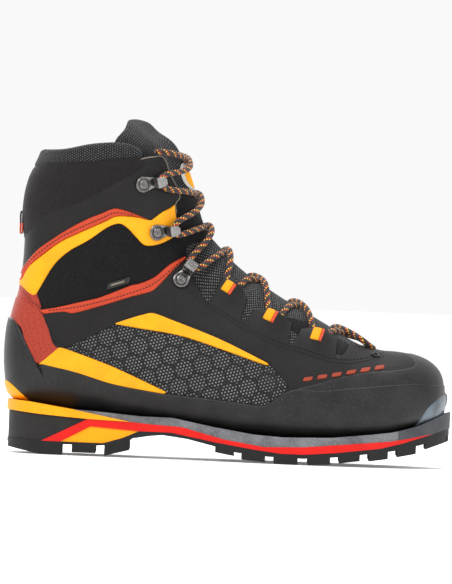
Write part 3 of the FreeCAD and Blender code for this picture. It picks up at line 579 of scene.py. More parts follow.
def metal(name, colour, rough=0.3):
    g = Graph(name)
    worn = g.noise(g.place, 1.6, 3.0)
    normal = g.bump(g.noise(g.place, 0.8, 2.0), 0.02)
    return g.done(g.mix(g.step(worn, 0.35, 0.7), tuple(c * 0.75 for c in colour), colour),
        g.step(worn, 0.3, 0.7, rough + 0.08, rough), normal, metallic=1.0)


def woven(name, colour, pitch=0.9):
    """Narrow webbing with a visible weave."""
    g = Graph(name)
    x, y, z = g.split(g.place)
    a = g.ripple(g.plus(x, y), pitch)
    b = g.ripple(g.math("SUBTRACT", z, y), pitch)
    weave = g.times(a, b)
    tone = g.step(weave, -0.8, 0.8)
    return g.done(g.mix(tone, tuple(c * 0.72 for c in colour), colour), 0.7, g.bump(tone, 0.12),
        specular=0.25)


BRAID_PITCH = 7.6       # along the lace, for one turn of its five strands
ONCE_ROUND = 14.0       # a tube's texture runs from 0 to this round it


def braid(name):
    """Round lace: dark braid with slanted flecks of red and yellow."""
    g = Graph(name)
    x, y, _ = g.split(g.uv)
    round_ = g.math("DIVIDE", y, ONCE_ROUND)
    one = g.plus(g.math("DIVIDE", x, BRAID_PITCH), g.times(round_, 2.0))
    two = g.math("SUBTRACT", g.math("DIVIDE", x, BRAID_PITCH), g.times(round_, 2.0))
    strand_a = g.times(one, 5.0)
    strand_b = g.times(two, 5.0)
    fa, fb = g.math("FRACT", strand_a), g.math("FRACT", strand_b)
    # which of five strands a point lies on, and where along the strand
    ia = g.math("FLOORED_MODULO", g.math("FLOOR", strand_a), 5.0)
    over = g.math("FLOORED_MODULO", g.plus(g.math("FLOOR", strand_a), g.math("FLOOR", strand_b)), 2.0)
    bulge_a = g.math("SINE", g.times(fa, math.pi))
    bulge_b = g.math("SINE", g.times(fb, math.pi))
    lit = g.step(bulge_a, 0.35, 0.6)
    red = g.times(g.math("COMPARE", ia, 1.0, 0.1), g.step(over, 0.4, 0.6))
    gold = g.times(g.math("COMPARE", ia, 2.0, 0.1), g.step(over, 0.6, 0.4))
    colour = g.mix(g.step(g.noise(g.place, 0.5), 0.3, 0.7), (0.010, 0.008, 0.009), (0.040, 0.022, 0.022))
    colour = g.mix(g.times(red, lit), colour, (0.86, 0.10, 0.012))
    colour = g.mix(g.times(gold, lit), colour, (1.0, 0.56, 0.03))
    normal = g.bump(g.math("MAXIMUM", bulge_a, bulge_b), 0.34)
    return g.done(colour, 0.7, normal, sheen=0.2, specular=0.25)


YELLOW = (0.80, 0.325, 0.0)
RED = (0.44, 0.040, 0.012)
MAT = {
    "leather": ribbed_leather("charcoal_leather", (0.0035, 0.0032, 0.0032), (0.018, 0.0167, 0.0162), 0.46),
    "cuff": ribbed_leather("cuff_leather", (0.004, 0.0037, 0.0037), (0.020, 0.0187, 0.0182), 0.40,
                          angle=0.3, depth=0.06),
    "tag": smooth_leather("tag_ground", (0.02, 0.018, 0.016), 0.6),
    "yellow": smooth_leather("yellow_leather", YELLOW),
    "red": smooth_leather("red_trim", RED, 0.48),
    "red_mesh": dotted("red_mesh", (0.17, 0.016, 0.010), (0.60, 0.080, 0.040), 0.95, 0.40, 0.1, flat=True,
                       rough=0.55),
    "honeycomb": honeycomb("honeycomb_mesh"),
    "softshell": brushed("softshell", (0.004, 0.004, 0.0045), (0.013, 0.0122, 0.013)),
    "lining": brushed("lining", (0.010, 0.010, 0.011), (0.028, 0.028, 0.030), 0.9),
    "collar": herringbone("collar_weave", (0.005, 0.004, 0.0045), (0.026, 0.021, 0.024)),
    "knit": dotted("dotted_knit", (0.009, 0.009, 0.010), (0.13, 0.13, 0.135), 1.7, 0.26, 0.28, turning=True),
    "tongue": dotted("tongue_mesh", (0.008, 0.008, 0.009), (0.17, 0.17, 0.175), 1.9, 0.27, 0.25),
    "tongue_knit": dotted("tongue_knit", (0.010, 0.009, 0.010), (0.13, 0.13, 0.135), 1.7, 0.26, 0.28,
                          turning=True),
    "rand": dusted_rubber("black_rubber"),
    "outsole": rubber("tread_rubber", (0.010, 0.010, 0.0105), 0.6, 0.6, 0.10, 0.12),
    "heel": rubber("heel_rubber", (0.014, 0.013, 0.0127), 0.6, 0.6, 0.08, 0.1),
    "sole_red": rubber("red_midsole", (0.56, 0.006, 0.003), 0.42, 0.9, 0.03, mottle=0.06),
    "sole_yellow": rubber("yellow_midsole", (0.82, 0.300, 0.0), 0.45, 0.9, 0.03, mottle=0.05),
    "sole_grey": rubber("grey_midsole", (0.115, 0.118, 0.126), 0.8, 1.1, 0.5, 0.7, 0.3),
    "welt": rubber("dark_welt", (0.050, 0.052, 0.058), 0.6, 0.7, 0.12, 0.1),
    "slate": rubber("slate_plastic", (0.085, 0.105, 0.125), 0.35, 0.9, 0.03, mottle=0.3),
    "steel": metal("hook_steel", (0.25, 0.245, 0.24), 0.30),
    "gunmetal": metal("gunmetal", (0.16, 0.15, 0.15), 0.34),
    "eyelet": metal("eyelet_paint", (0.05, 0.05, 0.055), 0.4),
    "webbing": woven("webbing", YELLOW),
    "webbing_red": woven("webbing_red", (0.62, 0.07, 0.03)),
    "webbing_dark": woven("webbing_dark", (0.03, 0.025, 0.03)),
    "lace": braid("lace_cord"),
    "thread": smooth_leather("dark_thread", (0.012, 0.011, 0.011), 0.6),
    "thread_pale": smooth_leather("pale_thread", (0.17, 0.15, 0.12), 0.6),
    "white": smooth_leather("pale_print", (0.55, 0.54, 0.52), 0.55),
    "print_red": smooth_leather("red_print", (0.26, 0.035, 0.015), 0.55),
    "felt": brushed("footbed_felt", (0.05, 0.05, 0.055), (0.12, 0.12, 0.13), 0.8),
}


# ---- places on the skin
def skin(x, z, side, offset=0.0):
    """The point of the skin seen at (x, z) from one side, and its outward direction."""
    columns = slice(0, SIDE + 1) if side < 0 else slice(SIDE, COLS)
    points, normals = P[:, columns], N[:, columns]
    far = (points[..., 0] - x) ** 2 + (points[..., 2] - z) ** 2
    i, j = np.unravel_index(np.argmin(far), far.shape)
    i, j = min(max(i, 1), ROWS - 2), min(max(j, 1), points.shape[1] - 2)
    du = (points[i + 1, j] - points[i - 1, j]) / 2
    dv = (points[i, j + 1] - points[i, j - 1]) / 2
    move = np.linalg.lstsq(np.array([[du[0], dv[0]], [du[2], dv[2]]]), np.array([x, z])
        - points[i, j, [0, 2]], rcond=None)[0]
    move = np.clip(move, -1.5, 1.5)
    normal = normals[i, j]
    return points[i, j] + du * move[0] + dv * move[1] + normal * offset, normal


def station_through(x, z):
    """The station number whose plane passes through a side-view point."""
    low, high = 0.0, float(LAST)
    for _ in range(40):
        u = (low + high) / 2
        section = station(u)
        a = math.radians(section[2])
        if (x - section[0]) * math.cos(a) - (z - section[1]) * math.sin(a) < 0:
            low = u
        else:
            high = u
    return (low + high) / 2


def on_crest(u, y, offset):
    """The point of the upper half of the skin at station u and sideways place y."""
    ox, oz, angle, ridge, floor, outer, inner, belly, _, high = station(u)
    ridge, outer, inner = ridge - offset, outer - offset, inner + offset
    middle, width = (outer + inner) / 2, (inner - outer) / 2
    widest = floor - belly * (floor - ridge)
    side = min(1.0, abs(y - middle) / width)
    radius = widest - (1 - side**high) ** (1 / high) * (widest - ridge)
    a = math.radians(angle)
    return np.array([ox - math.sin(a) * radius, y, oz - math.cos(a) * radius])


def middle_y(u):
    section = station(u)
    return (section[5] + section[6]) / 2


def along_line(points, step):
    """Side-view places evenly spaced along an open smooth line."""
    points = np.array(points, float)
    n = len(points)
    dense = []
    for i in range(n - 1):
        a, b, c, d = points[max(0, i - 1)], points[i], points[i + 1], points[min(n - 1, i + 2)]
        dense += [hermite(b, c, (c - a) / 2, (d - b) / 2, t) for t in np.linspace(0, 1, 24, endpoint=False)]
    dense = np.array(dense + [points[-1]])
    far = lengths(dense)
    even = np.linspace(0, far[-1], max(2, int(round(far[-1] / step)) + 1))
    return np.stack([np.interp(even, far, dense[:, k]) for k in (0, 1)], 1)


def tube_mesh(path, radius, around, taper=1.0, up=None):
    """Points, faces and texture places of a round tube along a path, ends closed."""
    path = np.asarray(path, float)
    count = len(path)
    ahead = np.gradient(path, axis=0)
    ahead /= norm(ahead, axis=1, keepdims=True)
    if up is None:
        guide = np.array([0.0, 0.0, 1.0]) if abs(ahead[0][2]) < 0.9 else np.array([1.0, 0.0, 0.0])
        guides = []
        for a in ahead:
            guide = guide - a * (guide @ a)
            guide /= norm(guide)
            guides.append(guide)
        up = np.array(guides)
    across = np.cross(ahead, up)
    across /= norm(across, axis=1, keepdims=True)
    up = np.cross(across, ahead)
    turn = np.linspace(0, 2 * math.pi, around, endpoint=False)
    size = (np.ones(count) * taper * radius)[:, None, None]
    rings = (path[:, None] + across[:, None] * (np.cos(turn)[None, :, None] * size) + up[:, None]
        * (np.sin(turn)[None, :, None] * size))
    points = rings.reshape(-1, 3)
    faces = ring_faces(count, around)
    far = lengths(path)
    places = []
    for face in faces:
        for index in face:
            i, k = divmod(index, around)
            if k == 0 and index in (face[1], face[2]) and face[0] % around == around - 1:
                k = around
            places.append((far[i], ONCE_ROUND * k / around))
    return points, faces, np.array(places)


def corner_uv(obj, places):
    """Texture places given for each corner of each face."""
    layer = obj.data.uv_layers.new(name="UVMap")
    layer.data.foreach_set("uv", (np.asarray(places) * MM).astype(np.float32).ravel())


def stitches(name, lines, offset, body="foot", pitch=2.3, length=1.7, radius=0.33, lift=None):
    """Rows of small raised stitches along side-view lines, on both sides of the boot."""
    points, faces = [], []
    for line in lines:
        spots = along_line(line, pitch)
        for side in (-1, 1):
            for a, b in zip(spots, spots[1:]):
                middle = (a + b) / 2
                at, out = skin(middle[0], middle[1], side, offset)
                if lift is not None:
                    at = at + out * lift(at[None])[0]
                end, _ = skin(b[0], b[1], side, offset)
                start, _ = skin(a[0], a[1], side, offset)
                ahead = end - start
                if norm(ahead) < 0.3 or norm(ahead) > 3 * pitch:
                    continue
                ahead /= norm(ahead)
                out = out - ahead * (out @ ahead)
                out /= norm(out)
                across = np.cross(out, ahead)
                base = len(points)
                for t, size in ((-1, 0.25), (-0.7, 0.85), (0, 1.0), (0.7, 0.85), (1, 0.25)):
                    for k in range(6):
                        turn = k * math.pi / 3
                        points.append(at + ahead * (t * length / 2) + across
                            * (math.cos(turn) * radius * size) + out * (math.sin(turn) * radius * size
                            + radius * 0.15))
                faces += [tuple(base + i for i in f) for f in ring_faces(5, 6)]
    points = np.array(points)
    obj = mesh_object(name, points, faces, points[:, [0, 2]], MAT["thread"])
    settle(obj, body)


def edge_cord(name, line, side, offset, radius):
    """A thin bound edge or cord along a side-view line."""
    path, ups = [], []
    for x, z in along_line(line, 1.2):
        at, out = skin(x, z, side, offset)
        path.append(at)
        ups.append(out)
    path = np.array(path)
    for _ in range(2):
        path[1:-1] = (path[:-2] + path[1:-1] * 2 + path[2:]) / 4
    taper = np.ones(len(path))
    taper[0] = taper[-1] = 0.3
    points, faces, places = tube_mesh(path, radius, 10, taper, np.array(ups))
    obj = mesh_object(name, points, faces, None, MAT["thread_pale"])
    corner_uv(obj, places)
    settle(obj, "shaft")


# ---- camera and light
FRAME_W = 452 * 0.68            # millimetres across the picture at the boot
TILT = math.radians(2.31)       # the camera's lean to one side, and its height above level
RISE = math.radians(0.6)
FAR = 8000.0
AIM = np.array([-4.9, 0.0, 114.2])
SENSOR = 36
ahead = np.array([0.0, math.cos(RISE), -math.sin(RISE)])
level = np.array([0.0, math.sin(RISE), math.cos(RISE)])
right = np.array([math.cos(TILT), 0, 0]) + level * math.sin(TILT)
up = -np.array([math.sin(TILT), 0, 0]) + level * math.cos(TILT)
eye = AIM - ahead * FAR
camera_data = bpy.data.cameras.new("camera")
camera_data.sensor_fit = "HORIZONTAL"
camera_data.sensor_width = SENSOR
camera_data.lens = SENSOR * FAR / FRAME_W
camera = bpy.data.objects.new("camera", camera_data)
bpy.context.scene.collection.objects.link(camera)
turn = Matrix((right, up, -ahead)).transposed().to_4x4()
turn.translation = Vector(eye * MM)
camera.matrix_world = turn
bpy.context.scene.camera = camera
bpy.context.scene.view_settings.view_transform = "Standard"


def area_light(name, place, size, power, aim=(0, 0, 0.10)):
    data = bpy.data.lights.new(name, "AREA")
    data.shape = "DISK"
    data.size = size
    data.energy = power
    lamp = bpy.data.objects.new(name, data)
    lamp.location = place
    lamp.visible_camera = False
    lamp.rotation_euler = (Vector(aim) - Vector(place)).to_track_quat("-Z", "Y").to_euler()
    bpy.context.scene.collection.objects.link(lamp)


area_light("key", (-0.7, -1.2, 1.7), 0.9, 30)
area_light("fill", (1.6, -1.4, 0.8), 1.2, 9)
area_light("top", (0.1, 0.4, 2.0), 1.2, 22)
area_light("back", (-0.8, 1.8, 0.9), 1.2, 12)
world = bpy.data.worlds.new("studio")
world.use_nodes = True
world.node_tree.nodes["Background"].inputs["Color"].default_value = (1, 1, 1, 1)
world.node_tree.nodes["Background"].inputs["Strength"].default_value = 0.95
bpy.context.scene.world = world

FLOOR_RADIUS, FLOOR_GLOW = 9000, 0.16
floor_rim = [(math.cos(k * math.pi / 32) * FLOOR_RADIUS, math.sin(k * math.pi / 32) * FLOOR_RADIUS, 0)
    for k in range(64)]
floor_graph = Graph("floor_paper")
floor_graph.shader.inputs["Emission Color"].default_value = (1, 1, 1, 1)
floor_graph.shader.inputs["Emission Strength"].default_value = FLOOR_GLOW
floor = mesh_object("floor", np.array(floor_rim + [(0, 0, 0)]), [(k, (k + 1) % 64, 64) for k in range(64)],
    None, floor_graph.done((0.88, 0.88, 0.88), 0.7, specular=0.2))
floor.location.z = -0.0002


# ---- sole: CAD shapes, finished
def finish_cad(node, material, bevel):
    """Give a CAD node its finish, and soften its edges."""
    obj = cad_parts[node]
    for item in (obj if isinstance(obj, (list, tuple)) else [obj]):
        item.data.materials.clear()
        item.data.materials.append(material)
        if bevel:
            soft = item.modifiers.new("soft_edges", "BEVEL")
            soft.width = bevel * MM
            soft.segments = 3
            soft.limit_method = "ANGLE"
            soft.angle_limit = math.radians(35)


SOLE_FINISHES = (("outsole", "outsole", 0.6), ("heel_block", "heel", 0.3), ("midsole_red", "sole_red", 0.3),
    ("arch_insert", "sole_yellow", 0.3), ("heel_welt", "sole_yellow", 0.5),
    ("midsole_grey", "sole_grey", 0.3), ("toe_welt", "welt", 0.5), ("footbed", "felt", 0),
    ("insole_board", "lining", 0), ("toe_eyelet_lateral", "eyelet", 0.15),
    ("toe_eyelet_medial", "eyelet", 0.15))
for node, finish, bevel in SOLE_FINISHES:
    finish_cad(node, MAT[finish], bevel)

# ---- side-view lines
GREY_TOP = [(-134, 35), (-105, 31), (-86, 30), (-59, 28), (-38, 28), (-10, 23), (18, 19), (38, 18), (70, 19),
    (96, 22), (111, 24), (126, 28), (129, 29)]
GREY_TUCK = [(x, z - 2.5) for x, z in GREY_TOP]
SIDES = ((-1, "lateral"), (1, "medial"))

# ---- skins
for side, name in SIDES:
    panel("quarter_mesh_" + name, [(-130, 26, 1), (-130, 75), (-120, 92), (-100, 99), (-60, 113), (-40, 118),
        (-24, 112), (8, 98), (34, 92), (50, 60), (50, 14, 1), (20, 15), (-10, 19), (-38, 24), (-86, 26)],
        "honeycomb", 0.15, inner=-1.9, side=side)
panel("vamp", [(44, 14, 1), (44, 60), (24, 95), (12, 100), (10, 101), (40, 99, 1), (60, 96), (110, 86),
    (160, 84, 1), (160, 24, 1), (126, 25), (96, 19), (70, 16)], "softshell", 0.1, inner=-1.9)
panel("heel_backing", [(-110, 26, 1), (-110, 95), (-128, 99), (-136, 103), (-143, 106), (-170, 106, 1),
    (-170, 30, 1), (-134, 31)], "softshell", 0.1, inner=-1.9)
for side, name in SIDES:
    panel("gusset_" + name, [(-127, 92), (-128, 99), (-134, 112), (-126, 133), (-103, 152), (-84, 163),
        (-74, 164), (-60, 154), (-50, 155), (-35, 162, 1), (-31, 131, 1), (-44, 121), (-54, 115), (-90, 98)],
        "softshell", 0.15, inner=-1.9, side=side, body="flex", shape=lambda p, d: 0.9 * waves(p, 34.0, 11)
        * np.clip(d / 12, 0, 1))
panel("achilles_strip", [(-126, 90), (-129.5, 99), (-133, 108), (-137, 115), (-143, 119), (-170, 119, 1),
    (-170, 100, 1), (-142, 100)], "red_mesh", 0.5, inner=-1.9, body="flex")

# lining: one soft sock from the toe to the collar, seen through the opening
panel("lining", [(-170, 0, 1), (160, 0, 1), (160, 100, 1), (60, 160, 1), (-40, 160), (-52, 176), (-60, 192),
    (-66, 203), (-72, 211), (-90, 208.5), (-101, 207), (-120, 203), (-132, 202), (-170, 202, 1)], "lining",
    -2.1, inner=-7.0, edge=1.6, body="flex", nodes=["heel_liner", "forefoot_liner", "ankle_liner",
    "shaft_liner"])

# ---- tongue
panel("tongue_lower", [(112, 70, 1), (84, 66), (60, 68), (34, 75), (12, 86), (-8, 98), (-24, 104), (-36, 118),
    (-37, 131), (-31, 146), (0, 150), (60, 150, 1), (112, 100, 1)], "tongue", 0.1, inner=-2.4, edge=1.4,
    shape=lambda p, d: 0.5 * waves(p, 26.0, 5))
panel("tongue_middle", [(-22, 122, 1), (-35, 128), (-46, 150), (-52, 165), (-52, 180, 1), (-30, 181),
    (0, 181, 1), (60, 140, 1), (40, 122, 1)], "softshell", -0.1, inner=-2.4, edge=1.2, body="flex",
    shape=lambda p, d: 0.5 * waves(p, 26.0, 5))


def set_back(across, z):
    """How far the tongue's face falls away on each side of its ridge, high on the shaft."""
    far = np.clip((np.abs(across) - 2.5) / 16, 0, 1)
    return -7.0 * far * (1.6 - 0.6 * far) * np.clip((np.asarray(z) - 176) / 10, 0, 1)


def tongue_top():
    """The padded top of the tongue: broad and deep inside the shaft, swelling out between its
    front edges, with a rounded rim."""
    rim = curve([(-46, 174, 1), (-20, 174, 1), (-10, 200), (-40, 217), (-52, 221.5), (-58.5, 227.5),
        (-62, 229.8), (-65, 228.6), (-70.5, 222.5), (-82, 214.5), (-86, 205), (-78, 194), (-60, 182)])
    edge = 4.0
    points, normal, uv, d, faces = cut_panel(rim, None, [edge * k for k in EDGE_CUTS])
    front = curve([(-39, 170, 1), (-10, 170, 1), (-10, 240, 1), (-68, 240, 1), (-63, 221), (-56, 212),
        (-48.5, 203), (-44, 192), (-40.5, 183)])
    level_out = normal * (1, 1, 0)
    level_out /= norm(level_out, axis=1, keepdims=True) + 1e-9
    share = np.clip((points[:, 2:3] - 178) / 20, 0, 1)
    normal = normal * (1 - share) + level_out * share
    ahead = np.clip((inside(front, points[:, [0, 2]]) + 3.0) / 7.0, 0, 1)
    ahead = ahead * ahead * (3 - 2 * ahead)
    k = np.clip(d / edge, 0, 1)
    rise = np.sqrt(np.clip(1 - (1 - k) ** 2, 0, 1))
    falling = set_back(points[:, 1], points[:, 2]) * ahead
    face = -7.6 + 7.4 * ahead + 0.5 * waves(points, 24.0, 9) + falling
    back = -12.5 + 3.6 * ahead + falling * 0.6
    middle = (face + back) / 2
    outer = points + normal * (middle + (face - middle) * rise)[:, None]
    inner = points + normal * (middle + (back - middle) * rise)[:, None]
    obj = shell("tongue_top", outer, inner, faces, uv, MAT["tongue_knit"])
    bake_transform(obj)
    settle(obj, None, ["tongue_top"])


tongue_top()

# ---- collar
collar = panel("collar_padding", [(-170, 141, 1), (-145, 142), (-139, 147), (-131, 156), (-119, 164),
    (-103, 172), (-80, 186), (-66, 194), (-62, 201), (-66, 204, 1), (-72, 204.5), (-86, 202.5), (-99, 200.5),
    (-114, 199.5), (-131, 197.5), (-140, 194.5), (-170, 194.5, 1)], "collar", 1.0, inner=-1.9, edge=2.4,
    body="shaft", shape=lambda p, d: 1.7 * np.clip((d - 1) / 14, 0, 1) ** 0.6 - 0.6 + 0.9 * waves(p, 46.0, 3))
band = panel("collar_band", [(-170, 192, 1), (-141, 192), (-131, 195), (-114, 197), (-99, 198), (-86, 200),
    (-70, 202), (-64.5, 204.5), (-66, 209), (-74, 212.6), (-83, 213), (-101, 211), (-119, 207.5), (-132, 207),
    (-170, 207, 1)], "knit", 1.1, inner=-7.6, edge=3.6, body="shaft", shape=lambda p, d: 0.5
    * waves(p, 30.0, 4))

# ---- cuff
CUFF_LOW = [(-122, 128), (-112, 138), (-99, 146), (-87, 155), (-79, 158), (-73, 155), (-68, 150), (-61, 144),
    (-52, 145), (-44, 149)]
CUFF_FRONT = [(-41, 166), (-42, 173), (-39, 177), (-41, 183), (-46, 192), (-49, 200), (-52, 205, 1)]
panel("cuff", [(-170, 114, 1), (-146, 114), (-138, 108.5), (-134, 107), (-131.3, 112)] + CUFF_LOW
    + [(-38.5, 153)] + CUFF_FRONT + [(-66, 202), (-80, 194), (-103, 179), (-119, 171), (-134, 161),
    (-141, 152), (-147, 147), (-170, 147, 1)], "cuff", 0.35, inner=-1.9, edge=0.7, body="shaft",
    shape=lambda p, d: 0.35 * waves(p, 40.0, 8) * np.clip(d / 5, 0, 1))
for side, name in SIDES:
    edge_cord("cuff_edge_" + name, [(-40.6, 166), (-41.8, 173), (-38.8, 177), (-40.8, 183), (-45.8, 192),
        (-48.8, 200), (-52, 204.6), (-57, 204), (-66, 202), (-80, 194), (-103, 179)], side, 0.35, 0.42)
stitches("cuff_front_seam", [[(-44.2, 178), (-46.6, 186), (-51, 194), (-54.6, 200), (-66, 198.2)]], 0.42,
    "shaft", radius=0.3)
TRIM_SEAM = [(-141, 122), (-138, 127), (-128, 136), (-118, 144), (-107, 150), (-87, 160), (-81, 163),
    (-68, 163)]
RED_CUFF = [(-170, 118.2, 1), (-144, 118.2), (-143, 124), (-140, 129), (-133, 138), (-123, 146), (-113, 153),
    (-101, 160), (-92, 164), (-83, 168), (-76, 167.2), (-69, 165),
    (-58, 161, 1)] + TRIM_SEAM[::-1] + [(-144, 116.6), (-170, 116.6, 1)]
YELLOW_CUFF = [(-170, 117, 1), (-144, 117)] + TRIM_SEAM + [(-58, 161), (-55, 163), (-50, 167), (-45, 170),
    (-42.3, 172.6, 1), (-41.4, 166), (-38.5, 155), (-39, 153)] + CUFF_LOW[::-1] + [(-131, 112), (-134, 107.2),
    (-138, 108.4), (-146, 114.2), (-170, 114.2, 1)]
panel("cuff_trim_yellow", YELLOW_CUFF, "yellow", 1.3, under=0.0, edge=0.8, body="shaft")
panel("cuff_trim_red", RED_CUFF, "red", 2.0, under=0.2, edge=1.1, body="shaft")
stitches("cuff_trim_seam", [[(-143, 121), (-139, 128), (-130, 137), (-120, 145.4), (-110, 151.6),
    (-89, 162.2), (-82, 165.4), (-70, 164.2)]], 2.0, "shaft")

# ---- foot overlays
STAY = [(-116, 72), (-125, 88), (-127, 96), (-114, 98), (-108, 97.5), (-89, 103), (-69, 110), (-55, 114),
    (-48, 121), (-41, 129), (-33, 137, 1), (-28.5, 130), (-26.5, 122), (-22, 113), (-16, 106, 1),
    (-12.5, 113), (-8, 123), (-4, 124, 1), (3, 118), (9.5, 110.5, 1), (8, 104), (6, 96, 1), (9.5, 96.5),
    (14.5, 102.5), (18, 103.5, 1), (30, 100), (40.5, 94.5, 1), (39.5, 88), (39, 80.5, 1), (42.5, 82),
    (46.5, 91, 1), (58, 91), (71.5, 85.5, 1), (71, 79), (71, 73, 1), (76, 75), (80, 81.5, 1), (92, 80.5),
    (105, 78.5, 1), (113, 86, 1), (132, 84, 1), (132, 66, 1), (112, 64.5), (87, 61), (52, 51), (37, 46),
    (27, 39, 1), (40, 50), (28, 65, 1), (27, 67), (-6, 80), (-54, 97), (-62, 95), (-80, 89)]
TABS = [(-2.5, 117.2), (27.2, 98.6), (58.8, 87.0)]     # where the lace turns under the eyestay


def tab_lift(points):
    """The eyestay's tabs stand up over the lace."""
    lift = np.zeros(len(points))
    for x, z in TABS:
        far = np.hypot(points[:, 0] - x, points[:, 2] - z)
        lift = np.maximum(lift, 3.1 * np.exp(-(far / 8.5) ** 2))
    return lift


panel("eyestay", STAY, "leather", 1.3, inner=0.0, edge=0.6, lift=tab_lift, shape=lambda p, d: 0.25
    * waves(p, 38.0, 2) * np.clip(d / 6, 0, 1))
RED_LOW = [(-131, 97.2, 1), (-119, 99.6), (-105, 103.4), (-90, 107.6), (-69, 116.6), (-64, 117.8),
    (-54, 122.6), (-44, 131.4), (-34, 137.6, 1), (-32.6, 135.8, 1), (-41, 127.6), (-48, 119.6), (-55, 112.8),
    (-69, 108.6), (-89, 101.6), (-108, 95.8), (-114, 96.6), (-127, 94.6, 1)]
LOW_STRIPE = [(-116, 73.3, 1), (-80, 61.3), (-42, 45.3, 1), (-44, 44, 1), (-79, 49), (-105, 55.5),
    (-130, 60.5, 1)]
HIGH_STRIPE = [(-80.5, 90, 1), (-71, 93.6), (-62, 96.6), (-54, 98.4), (-40, 94), (-6, 81.8), (28, 66.4, 1),
    (23, 66.6), (-6, 75.6), (-34, 83.6), (-62, 87.6)]
for side, name in SIDES:
    panel("stripe_low_" + name, LOW_STRIPE, "yellow", 1.3, edge=0.7, side=side)
    panel("stripe_high_" + name, HIGH_STRIPE, "yellow", 1.75, under=0.3, edge=0.7, side=side)
    panel("trim_foot_" + name, RED_LOW, "red", 2.1, under=0.2, edge=1.1, side=side)
panel("heel_panel", [(-170, 105, 1), (-143, 105), (-137, 101), (-129.5, 96.5), (-124.5, 88), (-115.5, 72),
    (-129, 61), (-135, 65), (-139, 73), (-145, 87), (-170, 89, 1)], "red_mesh", 1.2, edge=0.8)
stitches("heel_panel_seam", [[(-141.5, 109.5), (-136, 103), (-130, 99.4), (-127.2, 93.5), (-122.5, 83),
    (-118.2, 74)]], 1.45)
stitches("foot_trim_seam", [[(-124, 97.2), (-112, 99), (-98, 102.2), (-79, 108), (-64, 113.4), (-55, 117.4),
    (-46, 125), (-37, 133.6)]], 2.05)
SEAM = [(-30, 128), (-31.5, 120), (-30, 114), (-17, 104.5), (-3, 96.5), (11, 88.5), (29, 80.5), (48, 75.5),
    (58, 72.5), (71, 69.5), (84, 69.5), (94, 71.5), (104, 74.5)]
INNER_SEAM = [(x + 0.7, z + 2.2) for x, z in SEAM[2:]]
stitches("eyestay_seam", [SEAM, INNER_SEAM], 1.4, lift=tab_lift)
stitches("stripe_seam", [[(-76, 92.8), (-62, 98), (-54, 99.9), (-38, 95.2), (-6, 83.6), (26, 68.8)],
    [(-122, 83.5), (-116, 75.2), (-80, 63.2), (-46, 48.6)]], 1.45, pitch=2.1, length=1.5, radius=0.26)

# ---- rubber
panel("rand", GREY_TUCK + [(134, 30), (150, 32, 1), (160, 40, 1), (160, 57.5, 1), (135, 57), (125, 57.6),
    (87, 53.6), (60, 50.8), (47, 51.6), (37, 48.4), (26, 40.4), (20, 39.2), (3, 41), (-18, 43), (-47, 45),
    (-79, 50), (-105, 57), (-129, 61.6, 1), (-126, 50, 1), (-121, 34, 1)], "rand", 2.2, edge=1.3)
panel("toe_cap", [(50, 47, 1), (87, 50), (125, 54), (160, 54, 1), (160, 84, 1), (114, 84), (113, 79),
    (121, 75), (124, 69), (112, 66), (87, 63), (52, 53.4), (44, 50.5)], "rand", 1.65, edge=1.2)
panel("heel_counter", [(-170, 31, 1), (-146, 31), (-111, 29, 1), (-117.5, 39.5), (-124.5, 51.5),
    (-130.7, 61.3, 1), (-138, 75), (-144.4, 87), (-149, 91.5), (-170, 92.5, 1)], "rand", 2.4, edge=1.3)
panel("heel_tab", [(-170, 49.5, 1), (-151, 49.5), (-147, 48), (-140, 42.5), (-130.5, 34.2, 1), (-146, 33),
    (-170, 33, 1)], "sole_yellow", 2.9, under=1.0, edge=0.9)
panel("toe_tab", [(124, 27.5), (128, 34), (132, 40.5), (137.5, 46), (142.5, 50), (160, 51.5, 1), (160, 30, 1),
    (140, 27)], "slate", 2.9, under=1.0, edge=0.9)

# ---- side tag and prints
panel("side_tag", [(-86, 112.6, 1), (-70.8, 117.8, 1), (-69.8, 122.4, 1), (-85, 117.2, 1)], "tag", 1.1,
    under=0.1, edge=0.35, side=-1)
panel("side_tag_mark", [(-83.4, 115.2, 1), (-74, 118.4, 1), (-73.6, 119.8, 1), (-83, 116.6, 1)],
    "thread_pale", 1.25, under=0.9, edge=0.2, side=-1, nodes=())
for number in range(6):
    x = 49 + number * 9.6
    z = 57.6 + number * 1.75
    panel("vamp_mark_%d" % (number + 1), [(x, z - 1.5, 1), (x + 6.4, z - 0.5, 1), (x + 7.4, z + 2.2, 1),
        (x + 1.0, z + 1.2, 1)], "print_red", 1.95, under=1.3, edge=0.3, side=-1, nodes=())

# ---- hooks' places, from the skin
HOOK_WIRE, HOOK_OPEN, PLATE_T, LACE_D = 1.3, 7.6, 1.0, 4.0
HARDWARE = {"hook_high": ((-64, 185), (-53, 188), 0.3), "hook_low": ((-54, 153), (-44, 155.5), 1.5),
    "ankle_lock": ((-36, 121), (-30, 129.5), 1.5)}


def hook_place(title, side):
    """A hook's foot, and the directions across the lace, along it and outwards."""
    rivet, tip, lift = HARDWARE[title]
    at, out = skin(*rivet, side, lift)
    end, end_out = skin(*tip, side, lift)
    out = (out + end_out) / norm(out + end_out)
    ahead = end - at
    across = ahead - out * (ahead @ out)
    foot = at + out * (0.35 + PLATE_T) + across * 0.62
    across /= norm(across)
    return foot, across, np.cross(out, across), out, at


def rounded(corners, radius, count=6):
    """An open line through corners, each rounded with a small arc."""
    corners = [np.array(c, float) for c in corners]
    line = [corners[0]]
    for a, b, c in zip(corners, corners[1:], corners[2:]):
        back, on = a - b, c - b
        r = min(radius, norm(back) * 0.45, norm(on) * 0.45)
        start, end = b + back / norm(back) * r, b + on / norm(on) * r
        for t in np.linspace(0, 1, count):
            line.append(start * (1 - t) ** 2 + b * 2 * t * (1 - t) + end * t * t)
    line.append(corners[-1])
    return np.array(line)


